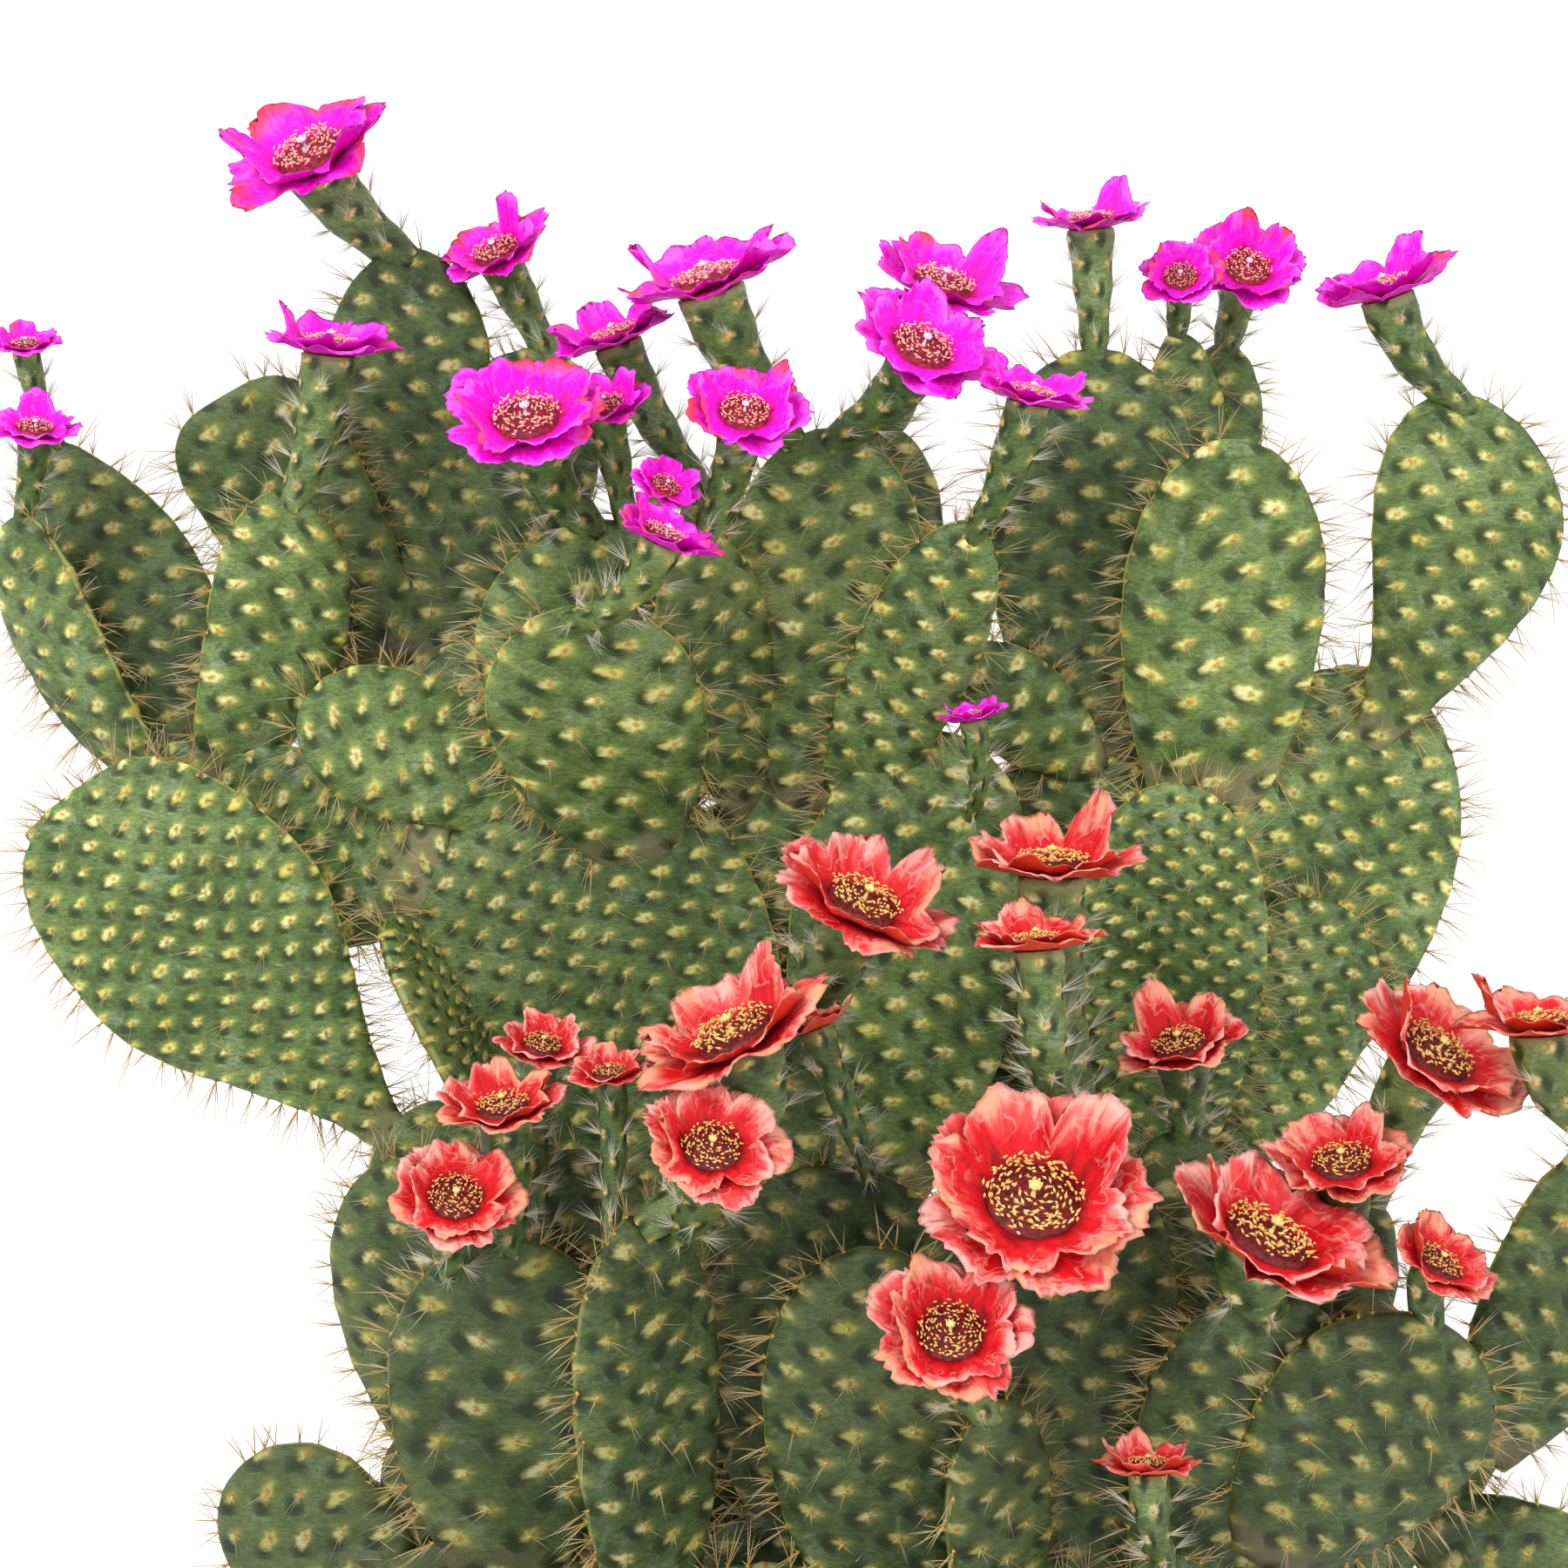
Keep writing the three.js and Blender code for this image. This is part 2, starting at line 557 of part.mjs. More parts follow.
// The soil fills the pot to just under its rim
function soilSolid() {
  const collarFoot = POT.height - POT.rimHeight;
  const bodyInner = POT.rimRadius - POT.rimStep - POT.wall;
  const slope = (POT.rimStep / POT.rimHeight) * (SOIL_TOP - collarFoot);
  const profile = [
    [0, POT.floor + GAP],
    [POT.footRadius - POT.wall - SOIL_CLEAR, POT.floor + GAP],
    [bodyInner - SOIL_CLEAR, collarFoot],
    [bodyInner + slope - SOIL_CLEAR, SOIL_TOP],
    [0, SOIL_TOP],
  ];
  return turned(profile);
}

function turned(profile) {
  const points = profile.map(([radius, height]) => new THREE.Vector2(radius, height));
  const lathe = new THREE.LatheGeometry(points, POT.sides);
  lathe.rotateX(Math.PI / 2);
  return solid(lathe);
}

function meshOf(name, shape, colour, roughness) {
  const mesh = shape.getMesh();
  const geometry = new THREE.BufferGeometry();
  geometry.setAttribute('position', new THREE.BufferAttribute(Float32Array.from(mesh.vertProperties), 3));
  geometry.setIndex(new THREE.BufferAttribute(Uint32Array.from(mesh.triVerts), 1));
  geometry.computeVertexNormals();
  const material = new THREE.MeshStandardMaterial({ color: colour, roughness, metalness: 0 });
  const part = new THREE.Mesh(geometry, material);
  part.name = name;
  return part;
}

// Stems and blooms, one after another; what comes later stands clear of what came before
const nodes = [];
function keepClear(shape) {
  let clear = shape;
  for (const other of nodes) {
    if (meets(clear, other.grown)) {
      clear = clear.subtract(other.grown);
    }
  }
  return mainBody(clear);
}

for (const stem of STEMS) {
  const bodies = (grow) => [
    ...stem.pads.map((pad) => padSolid(pad, grow)),
    ...stem.blooms.map((bloom) => tubeSolid(bloom, grow)),
  ];
  nodes.push({
    name: stem.name,
    shape: keepClear(joined(bodies(0))),
    grown: joined(bodies(GAP)),
    colour: GREEN,
    needles: () => [
      ...stem.pads.filter((pad) => pad.foot[2] > 0).flatMap((pad) => padNeedles(pad)),
      ...stem.blooms.flatMap((bloom) => tubeNeedles(bloom)),
    ],
  });
}
for (const stem of STEMS) {
  for (const bloom of stem.blooms) {
    const edges = petalEdges();
    nodes.push({
      name: bloom.name,
      shape: keepClear(bloomSolid(bloom, edges)),
      grown: bloomSolid(bloom, edges, BLOOM.clear),
      colour: stem.colour,
    });
  }
}

const pot = potSolid();
let soil = soilSolid();
for (const node of nodes) {
  if (meets(soil, node.grown)) {
    soil = soil.subtract(node.grown);
  }
}
soil = mainBody(soil);

// Spines last: one that would touch another piece is left out
const placed = [];
for (const node of nodes.filter((each) => each.needles)) {
  const kept = node.needles().filter((spine) => {
    const shown = spine.subtract(node.shape).volume() / spine.volume();
    const free = shown > SPINE.leastShown
      && !nodes.some((other) => other !== node && meets(spine, other.grown))
      && !placed.some((other) => meets(spine, other))
      && !meets(spine, soil)
      && !meets(spine, pot);
    if (free) {
      placed.push(spine);
    }
    return free;
  });
  node.shape = mainBody(joined([node.shape, ...kept]));
}

const plant = new THREE.Group();
plant.name = 'potted_prickly_pear';
plant.add(meshOf('pot', pot, TERRACOTTA, 0.85));
plant.add(meshOf('soil', soil, EARTH, 0.95));
for (const node of nodes) {
  plant.add(meshOf(node.name, node.shape, node.colour, 0.6));
}

export default plant;
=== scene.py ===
"""A potted prickly pear in bloom: flat spiny pads, flower tubes, magenta and red blooms, pot and soil.

Blender works in metres. The growth plan is in millimetres, its heights above the soil, with +X to the
right, -Y to the front and the middle of the pot at X = Y = 0. Forms are worked out in millimetres and
turned into metres where a piece's mesh is made.
"""
import math
import random

import bpy
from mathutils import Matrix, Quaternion, Vector, noise


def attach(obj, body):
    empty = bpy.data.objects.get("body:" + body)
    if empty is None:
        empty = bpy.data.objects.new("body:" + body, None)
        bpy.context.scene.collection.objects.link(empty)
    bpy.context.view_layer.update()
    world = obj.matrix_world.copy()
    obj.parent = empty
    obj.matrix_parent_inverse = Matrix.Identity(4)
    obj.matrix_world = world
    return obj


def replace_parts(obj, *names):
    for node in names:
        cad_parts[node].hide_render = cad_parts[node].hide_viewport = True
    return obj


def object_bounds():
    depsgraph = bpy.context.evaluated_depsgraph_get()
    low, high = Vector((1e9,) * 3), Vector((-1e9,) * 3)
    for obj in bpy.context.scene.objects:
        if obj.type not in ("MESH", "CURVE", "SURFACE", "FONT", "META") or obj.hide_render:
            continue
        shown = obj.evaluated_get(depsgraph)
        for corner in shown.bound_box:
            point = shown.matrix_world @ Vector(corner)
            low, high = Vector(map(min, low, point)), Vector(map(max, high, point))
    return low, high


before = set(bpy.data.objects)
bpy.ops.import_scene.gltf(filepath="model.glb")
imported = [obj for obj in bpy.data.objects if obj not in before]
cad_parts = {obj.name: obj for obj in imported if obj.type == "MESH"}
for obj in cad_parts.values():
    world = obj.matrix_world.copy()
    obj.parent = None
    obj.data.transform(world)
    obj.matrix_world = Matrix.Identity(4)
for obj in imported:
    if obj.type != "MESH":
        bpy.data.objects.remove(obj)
cad_low, cad_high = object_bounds()

MM = 0.001
FULL_TURN = 2 * math.pi
CLOCKWISE = -1

# The camera looks slightly down at the middle of the clump, as in the photograph
VIEW_TARGET = Vector((0, 0, 0.574))
VIEW_DISTANCE = 0.968
VIEW_DOWN = math.radians(10)
VIEW_LENS = 60
VIEW_SENSOR = 36

# Sizes that the solids share, in millimetres or as plain shares
SOIL_TOP = 222
PAD_THICKNESS = 12
PAD_NECK = 0.27
PAD_BELLY = 0.62
PAD_RISE = 0.85
PAD_POINT = 0.5
TUBE_TOP_RATIO = 0.185
TUBE_FOOT_RATIO = 0.42
TUBE_FLARE = 0.8

# The edges of the petals, as shares. A ring has the column of its first petal, how far out its edge
# runs between petals, and how tall its one standing petal is.
PETAL_RINGS = (("outer", 0, 0.82, 1), ("inner", 1, 0.8, 1.6))
PETAL_COUNT = 5
PETAL_REACHES = (0.9, 1.06)
PETAL_LIFTS = (0.75, 1.3)
NOTCH_LIFT = 0.85
FRONT_DROOP = 0.45
FIRST_STANDING = 2
STANDING_REACH = 0.86
PETAL_RANDOM_SEED = 20417

POT_HEIGHT = 240
POT_RIM_RADIUS = 200
POT_RIM_HEIGHT = 46
POT_RIM_STEP = 9
POT_FOOT_RADIUS = 138
POT_WALL = 9
POT_FLOOR = 12
POT_FOOT_CHAMFER = 4
POT_DRAINS = 3
POT_DRAIN_RADIUS = 7
POT_DRAIN_CIRCLE = 70
SOIL_GAP = 0.45

# Detail that only the dressed part has, in millimetres. A pair is the shortest and the longest.
PAD_MESH_STEP = 4.6
AREOLE_SPACING = 14.5
AREOLE_SWELL = 0.8
AREOLE_DIMPLE = 0.8
RIM_TUFT_STEP = 6.5
TUBE_MESH_STEP = 3
TUBE_AREOLE_ROW = 20
SPINE_RADIUS = 0.22
FACE_SPINES = (7, 15)
RIM_SPINES = (8, 21)
NECK_SPINES_LONGER = 4
GLOCHID_RADIUS = 0.17
GLOCHIDS = (1.8, 3.8)
BRISTLE_RADIUS = 0.14
BRISTLES = (7, 16)
FILAMENT_RADIUS = 0.14
CUSHION_SUNK = 0.3
ROOT_LIFT = 0.4
PETAL_THICKNESS = 0.5
WIDEST_BLOOM = 80
BOX_MARGIN = 0.6
PETAL_EASE = 12
POT_ROUNDING = 3
SOIL_DIP = 1.2
CRUMBS = (1.2, 1.6, 2.0, 2.6, 3.4)
CRUMB_CLEAR = 5

# Counts, shares and one angle in radians. A pair is the fewest and the most.
POT_SIDES = 112
DRAIN_SIDES = 24
SOIL_SIDES = 120
SOIL_CIRCLES = 46
CRUMB_COUNT = 420
STONE_SIDES = 6
TUBE_SIDES = 24
TUBE_AREOLES_ROUND = 4
GLOCHID_COUNT = 5
BRISTLE_COUNT = 14
MISSING_AREOLES = 0.06
AREOLE_LOWEST = 0.05
AREOLE_HIGHEST = 0.97
FACE_REACH = 0.88
RIM_START = 0.03
RIM_SHARE = 0.969
RIM_STEPS = 240
TUBE_BARE_FROM = 0.94
RIM_SPINE_DROOP = 0.06
STAMENS = (80, 210)
STIGMA_LOBES = 7
CUP_SIDES = 20
GOLDEN_ANGLE = 2.39996
PETAL_ROWS = 8
PETAL_COLUMNS = (70, 140)
PETAL_BREADTH = 3

# A needle's rings of points: how far along it, from just inside the flesh, and how thick it is there.
# A straight needle has only the first.
NEEDLE_RINGS = [(-0.1, 1.0), (0.5, 0.72)]

# Where the dimple lies beside each areole, in steps of the lattice. The flesh dips there, and the skin has
# painted shade there.
DIMPLE_U = 0.14
DIMPLE_V = 0.24

# How dark the skin is: 0 is the plain green, -1 about half as bright and 1 half as bright again.
# Pads low in the clump get painted shade, darker as the clump's own shadow: by LOW_SHADE up to the
# height SHADE_FULL above the soil, and from there less and less up to SHADE_ENDS.
PAD_SHADES = (-0.25, 0.15)
FRONT_PAD_SHADE = 0.3
TUBE_SHADES = (-0.25, 0.1)
FRONT_TUBE_SHADE = 0.25
LOW_SHADE = 0.8
DARKEST_SHADE = -1.15
SHADE_FULL = 130
SHADE_ENDS = 220

# Shares of a bloom's width. The pairs of a sheet or a cup are how far out and how high.
OUTER_SHEET = {"ring": "outer", "base": (0.15, 0.02), "edge": (0.5, 0.135), "notch_depth": 0.02}
INNER_SHEET = {"ring": "inner", "base": (0.165, 0.04), "edge": (0.42, 0.215), "notch_depth": 0.06}
PETAL_JAG = 0.085
PETAL_RUFFLE = 0.02
CUP_ROWS = ((0.165, 0.002), (0.19, 0.03), (0.18, 0.055), (0.13, 0.07), (0.06, 0.078))
CUP_TOP = 0.082
STAMEN_OUT = (0.035, 0.195)
STAMEN_ROOT = 0.065
STAMEN_TOP = 0.125
ANTHER_RADIUS = 0.0062
ANTHER_LENGTHS = (0.01, 0.022)
PISTIL_FOOT = 0.06
PISTIL_LENGTH = 0.11
PISTIL_RADIUS = 0.02

# The set, in metres and watts: where both lights aim, and each one's place, size and power
LIGHT_TARGET = (0, 0, 0.5)
KEY_LIGHT = ((-1.3, -1.7, 2.3), 1.1, 40)
FILL_LIGHT = ((1.8, -1.2, 1.2), 1.4, 10)
DAYLIGHT = 1.12
FLOOR_REACH = 20

RED = "red"
MAGENTA = "magenta"


def pad(foot, tip, width, turn=0, sway=0, bow=0, neck=PAD_NECK, belly=PAD_BELLY, rise=PAD_RISE,
        point=PAD_POINT, areoles=AREOLE_SPACING, shade=None):
    """One pad of the plan: turn is in degrees about its length, sway and bow bend its middle line.

    neck, belly, rise and point shape its outline, areoles is the spacing of its areoles, and shade
    makes its skin darker (-1) or lighter (1) than the plain green.
    """
    return {"foot": foot, "tip": tip, "width": width, "turn": turn, "sway": sway, "bow": bow,
            "neck": neck, "belly": belly, "rise": rise, "point": point, "areoles": areoles, "shade": shade}


def bloom(name, foot, seat, face, width):
    """One bloom of the plan: its tube goes from foot to seat, and it looks towards face."""
    return {"name": name, "foot": foot, "seat": seat, "face": face, "width": width}


def stem(name, colour, pads, blooms):
    return {"name": name, "colour": colour, "pads": pads, "blooms": blooms}


# The growth plan, the same as that of the solids
STEMS = [
    stem("stem_front_left", RED, [
        pad((-112, -58, -10), (-108, -62, 84), 96, areoles=18),
        pad((-103, -64, 62), (-95, -80, 205), 86, areoles=19),
        pad((-122, -56, 52), (-126, -44, 124), 50),
        pad((-128, -46, 104), (-140, -38, 220), 66, turn=-15),
        pad((-134, -58, 48), (-202, -50, 104), 64),
        pad((-84, -72, 138), (-72, -46, 226), 58, areoles=14, shade=-0.35),
    ], [
        bloom("red_left_front", (-96, -80, 199), (-96, -92, 253), (-0.09, -0.08, 0.99), 48),
        bloom("red_left_low", (-117, -78, 190), (-111, -110, 228), (0.16, -0.53, 0.84), 47),
        bloom("red_left_far", (-84, -79, 196), (-86, -57, 266), (0.2, -0.21, 0.96), 37),
    ]),
    stem("stem_front_dark", RED, [
        pad((8, -44, -10), (10, -45, 90), 92),
        pad((12, -45, 70), (20, -45, 220), 102),
        pad((2, -42, 185), (-5, -35, 258), 42),
    ], [
        bloom("red_upper_left", (-4, -36, 252), (26, -56, 316), (0.39, -0.25, 0.89), 70),
        bloom("red_side", (32, -45, 212), (11, -70, 277), (-0.37, 0.25, 0.89), 32),
    ]),
    stem("stem_front_middle", RED, [
        pad((-5, -82, -10), (-5, -84, 84), 112),
        pad((-44, -88, 50), (-50, -97, 220), 62, turn=40),
        pad((34, -84, 58), (30, -90, 205), 78),
    ], [
        bloom("red_tilted", (-49, -97, 214), (-15, -93, 278), (-0.43, -0.09, 0.9), 74),
        bloom("red_middle_left", (-38, -88, 206), (-24, -125, 250), (0.08, -0.5, 0.86), 52),
        bloom("red_small_left", (-60, -105, 208), (-60, -84, 264), (-0.08, -0.08, 0.99), 30),
    ]),
    stem("stem_front_right", RED, [
        pad((112, -88, -10), (112, -88, 80), 118),
        pad((106, -82, 58), (108, -58, 230), 68),
        pad((130, -66, 142), (146, -42, 232), 46),
        pad((142, -90, 52), (172, -96, 192), 74),
        pad((166, -97, 92), (228, -108, 182), 78),
        pad((188, -95, 135), (208, -62, 214), 32),
        pad((80, -92, 52), (70, -120, 160), 46, turn=35),
        pad((134, -94, 48), (131, -125, 108), 32),
    ], [
        bloom("red_column_top", (110, -59, 222), (95, -46, 327), (0.01, 0.07, 1), 66),
        bloom("red_column_low", (103, -61, 222), (86, -88, 310), (-0.07, 0.18, 0.98), 47),
        bloom("red_large", (98, -62, 212), (83, -116, 228), (0.03, -0.54, 0.84), 86),
        bloom("red_upper_right", (145, -43, 226), (142, -49, 263), (-0.24, -0.14, 0.96), 51),
        bloom("red_right_tilted", (168, -96, 186), (161, -113, 212), (0.38, -0.16, 0.91), 82),
        bloom("red_right_middle", (203, -66, 208), (193, -88, 232), (-0.18, -0.2, 0.95), 53),
        bloom("red_right_low", (224, -108, 176), (221, -108, 204), (0.41, -0.24, 0.88), 42),
        bloom("red_right_high", (209, -61, 209), (225, -72, 266), (0.43, -0.32, 0.84), 70),
        bloom("red_low_facing", (70, -120, 155), (55, -139, 191), (-0.07, -0.52, 0.85), 58),
        bloom("red_small_low", (131, -125, 102), (122, -132, 141), (-0.01, 0.27, 0.96), 38),
    ]),
    stem("stem_front_far_right", RED, [
        pad((144, -48, -10), (256, -68, 130), 46, sway=8),
        pad((252, -67, 116), (308, -80, 245), 66),
        pad((228, -62, 92), (300, -95, 62), 58),
    ], [
        bloom("red_right_edge", (290, -80, 240), (258, -90, 281), (-0.09, 0.17, 0.98), 56),
    ]),
    stem("stem_back_left", MAGENTA, [
        pad((-110, 54, -10), (-122, 57, 116), 84),
        pad((-122, 57, 96), (-140, 60, 212), 72),
        pad((-150, 60, 188), (-280, 55, 337), 108, neck=0.12, rise=1.7, point=0.3,
            areoles=11.5, shade=0.2),
        pad((-112, 61, 186), (-158, 66, 286), 66, turn=80, bow=6, areoles=9, shade=-0.3),
    ], []),
    stem("stem_back_middle", MAGENTA, [
        pad((-5, 72, -10), (-5, 72, 112), 120),
        pad((-5, 72, 90), (-5, 70, 198), 112),
        pad((-28, 68, 164), (-108, 80, 340), 142, areoles=12, shade=-0.35),
        pad((-4, 74, 172), (0, 95, 340), 90),
        pad((35, 68, 158), (62, 80, 360), 98),
        pad((-135, 80, 306), (-310, 95, 314), 90, neck=0.5, belly=0.52, point=0.95,
            areoles=11.5, shade=0.15),
        pad((-112, 80, 315), (-152, 122, 394), 72),
        pad((-96, 80, 331), (-191, 68, 371), 60, areoles=14, shade=0.25),
        pad((-58, 76, 306), (-82, 26, 415), 84, areoles=17, shade=0.05),
        pad((-62, 78, 312), (-72, 62, 445), 106, areoles=16, shade=-0.1),
        pad((-162, 120, 376), (-150, 125, 550), 68, neck=0.5, belly=0.7, areoles=14, shade=-0.7),
        pad((-160, 118, 376), (-224, 104, 492), 68, neck=0.45, belly=0.8, point=0.3,
            areoles=15, shade=-0.6),
        pad((-231, 88, 332), (-194, 70, 455), 56, turn=20, sway=-9, areoles=14, shade=0.35),
        pad((-250, 92, 338), (-293, 108, 475), 82, belly=0.46, point=0.95, areoles=14, shade=-0.8),
        pad((-254, 88, 338), (-300, 70, 446), 50, turn=-35, sway=13, areoles=14, shade=0.2),
        pad((-152, 114, 375), (-92, 128, 508), 72, shade=-0.75),
        pad((-15, 91, 325), (-35, 40, 440), 54, turn=35, shade=-0.35),
        pad((-12, 94, 325), (-30, 92, 460), 42, shade=-0.2),
        pad((12, 92, 322), (19, 70, 480), 78, areoles=15, shade=0),
        pad((24, 92, 325), (40, 112, 480), 62, shade=-0.5),
        pad((22, 90, 318), (72, 42, 445), 48, areoles=13, shade=0.1),
    ], [
        bloom("magenta_top_left", (-150, 125, 544), (-187, 114, 583), (-0.33, -0.52, 0.79), 74),
        bloom("magenta_left_small", (-93, 128, 502), (-115, 122, 546), (-0.34, -0.46, 0.82), 50),
        bloom("magenta_left_flat", (-193, 71, 449), (-175, 66, 508), (0.11, -0.02, 0.99), 58),
        bloom("magenta_far_left", (-299, 71, 441), (-289, 63, 478), (0.16, -0.28, 0.95), 36),
        bloom("magenta_far_left_high", (-292, 107, 470), (-301, 99, 510), (-0.01, -0.26, 0.97), 30),
        bloom("magenta_facing", (-72, 62, 440), (-96, 36, 482), (-0.09, -0.56, 0.82), 66),
        bloom("magenta_under", (-31, 92, 454), (-65, 84, 512), (-0.34, -0.09, 0.94), 52),
        bloom("magenta_behind", (-60, 62, 438), (-68, 52, 487), (-0.13, -0.4, 0.91), 40),
        bloom("magenta_high_middle", (4, 71, 474), (-28, 64, 532), (-0.29, -0.14, 0.95), 72),
        bloom("magenta_middle", (-34, 42, 434), (-15, 25, 485), (0.12, -0.59, 0.8), 50),
        bloom("magenta_middle_low", (-40, 44, 430), (-45, 27, 459), (0.44, -0.49, 0.76), 29),
        bloom("magenta_sloping", (-84, 28, 409), (-44, -9, 442), (0.4, -0.09, 0.91), 44),
        bloom("magenta_right_facing", (17, 71, 474), (51, 49, 508), (0.33, -0.53, 0.78), 62),
        bloom("magenta_right_high", (40, 112, 474), (62, 104, 532), (0.28, -0.33, 0.9), 64),
        bloom("magenta_right_flat", (71, 43, 439), (91, 24, 491), (0.2, -0.09, 0.98), 48),
        bloom("magenta_bud", (74, 76, 324), (73, 44, 369), (-0.2, 0.08, 0.98), 28),
    ]),
    stem("stem_back_right", MAGENTA, [
        pad((128, 70, -10), (142, 72, 114), 90),
        pad((142, 72, 94), (165, 70, 192), 82),
        pad((148, 74, 162), (110, 100, 352), 98, areoles=12, shade=-0.3),
        pad((155, 70, 172), (150, 42, 345), 78, areoles=9.5, shade=0.3),
        pad((168, 72, 184), (245, 105, 380), 112, sway=-3, areoles=13, shade=0.2),
        pad((172, 70, 174), (222, 76, 290), 72, areoles=11, shade=0.1),
        pad((124, 98, 335), (125, 112, 510), 86, belly=0.66, areoles=15, shade=-0.7),
        pad((172, 92, 326), (174, 60, 476), 80, neck=0.5, belly=0.58, areoles=18, shade=0.45),
        pad((128, 96, 340), (68, 78, 390), 42, shade=0),
        pad((126, 100, 330), (182, 138, 440), 50),
        pad((179, 136, 428), (161, 136, 516), 34, turn=30),
        pad((182, 137, 428), (184, 156, 512), 34),
        pad((233, 98, 346), (272, 90, 492), 78, sway=-16, belly=0.7, neck=0.2, rise=1.5,
            areoles=14, shade=0.05),
        pad((134, 74, 128), (88, 104, 258), 64, shade=-0.3),
    ], [
        bloom("magenta_right_column", (125, 112, 504), (122, 110, 557), (-0.08, -0.07, 0.99), 50),
        bloom("magenta_pair_left", (161, 136, 510), (160, 121, 537), (-0.11, -0.72, 0.68), 35),
        bloom("magenta_pair_right", (184, 156, 506), (189, 137, 540), (0.08, -0.69, 0.72), 50),
        bloom("magenta_far_right", (272, 90, 486), (235, 82, 530), (-0.31, -0.04, 0.95), 57),
    ]),
]


def planted(place):
    """A place of the plan, with its height measured from the floor."""
    return Vector((place[0], place[1], place[2] + SOIL_TOP))


def mix(low, high, share):
    return low + (high - low) * share


def turns(count, way=1):
    """Angles evenly round a full turn, or the other way round for -1."""
    return [way * step / count * FULL_TURN for step in range(count)]


def spokes(along, count):
    """Directions square to another direction, evenly round it."""
    side = along.orthogonal().normalized()
    other = along.cross(side)
    return [side * math.cos(turn) + other * math.sin(turn) for turn in turns(count)]


def around_axis(turn, radius, height):
    """A place by its turn round the pot's middle, anticlockwise seen from above."""
    return Vector((radius * math.cos(turn), radius * math.sin(turn), height))


def placed(name, data):
    """A new object of the scene."""
    made = bpy.data.objects.new(name, data)
    bpy.context.scene.collection.objects.link(made)
    return made


def frame_of(foot, tip, turn=0):
    """The directions along a flat thing, across it and out of its face, and its length."""
    along = tip - foot
    length = along.length
    along.normalize()
    face = (Vector((0, -1, 0)) + along * along.y).normalized()
    face.rotate(Quaternion(along, math.radians(turn)))
    return along, face.cross(along), face, length


# Pieces are gathered point by point. At each point a material can read two triples:
# grid places it in the pattern of areoles or petals, tone says where on its part it is.
class Piece:
    def __init__(self):
        self.points = []
        self.faces = []
        self.finishes = []
        self.grid = []
        self.tone = []

    def point(self, place, grid=(0, 0, 0), tone=(0, 0, 0)):
        self.points.append(place)
        self.grid.extend(grid)
        self.tone.extend(tone)
        return len(self.points) - 1

    def face(self, corners, finish=0):
        self.faces.append(corners)
        self.finishes.append(finish)

    def band(self, lower, upper, finish=0):
        """Faces between two rings of points, closed round."""
        count = len(lower)
        for index in range(count):
            after = (index + 1) % count
            self.face((lower[index], upper[index], upper[after], lower[after]), finish)

    def cap(self, ring, middle, finish=0):
        """Faces from a ring to the point that closes it."""
        for index, corner in enumerate(ring):
            self.face((corner, middle, ring[(index + 1) % len(ring)]), finish)

    def foot_cap(self, ring, middle, finish=0):
        for index, corner in enumerate(ring):
            self.face((middle, corner, ring[(index + 1) % len(ring)]), finish)

    def closed(self, rings, foot, top, finish=0):
        """A skin over rings of points, closed by a point below them and one above."""
        for lower, upper in zip(rings, rings[1:]):
            self.band(lower, upper, finish)
        self.foot_cap(rings[0], foot, finish)
        self.cap(rings[-1], top, finish)

    def peak(self, ring, top, finish=0):
        """Faces from a ring that runs anticlockwise, seen from its point, to that point."""
        for index, corner in enumerate(ring):
            self.face((corner, ring[(index + 1) % len(ring)], top), finish)

    def build(self, name, materials, slot, smooth=True):
        mesh = bpy.data.meshes.new(name)
        mesh.from_pydata([place * MM for place in self.points], [], self.faces)
        for label, numbers in (("grid", self.grid), ("tone", self.tone)):
            mark = mesh.attributes.new(label, "FLOAT_VECTOR", "POINT")
            mark.data.foreach_set("vector", numbers)
        for material in materials:
            mesh.materials.append(material)
        mesh.polygons.foreach_set("material_index", self.finishes)
        mesh.polygons.foreach_set("use_smooth", [smooth] * len(self.faces))
        mesh.update()
        made = placed(name, mesh)
        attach(made, "root")
        return made


BOX_LOW = cad_low / MM + Vector((BOX_MARGIN,) * 3)
BOX_HIGH = cad_high / MM - Vector((BOX_MARGIN,) * 3)


def inside_box(place):
    return all(BOX_LOW[axis] <= place[axis] <= BOX_HIGH[axis] for axis in range(3))


def add_needle(piece, root, direction, length, radius, shade, finish=0, bend=0.0):
    """A three-sided spine, its root sunk in the flesh. Its tip droops by bend, a share of its length."""
    tip = root + direction * length - Vector((0, 0, bend * length))
    if not inside_box(tip):
        return
    around = spokes(direction, 3)
    rings = []
    for share, thickness in NEEDLE_RINGS[:1 if bend == 0 else 2]:
        droop = Vector((0, 0, bend * length * share * share))
        middle = root + direction * (length * share) - droop
        tone = (max(0, share), shade, 0)
        rings.append([piece.point(middle + out * (radius * thickness), tone=tone) for out in around])
    end = piece.point(tip, tone=(1, shade, 0))
    for lower, upper in zip(rings, rings[1:]):
        for corner in range(3):
            after = (corner + 1) % 3
            piece.face((lower[corner], lower[after], upper[after], upper[corner]), finish)
    piece.peak(rings[-1], end, finish)


def add_cushion(piece, middle, normal, radius, height, shade, finish=0):
    """The low woolly cushion of an areole."""
    foot = normal * CUSHION_SUNK
    ring = [piece.point(middle + out * radius - foot, tone=(0, shade, 0)) for out in spokes(normal, 6)]
    piece.peak(ring, piece.point(middle + normal * height, tone=(1, shade, 0)), finish)


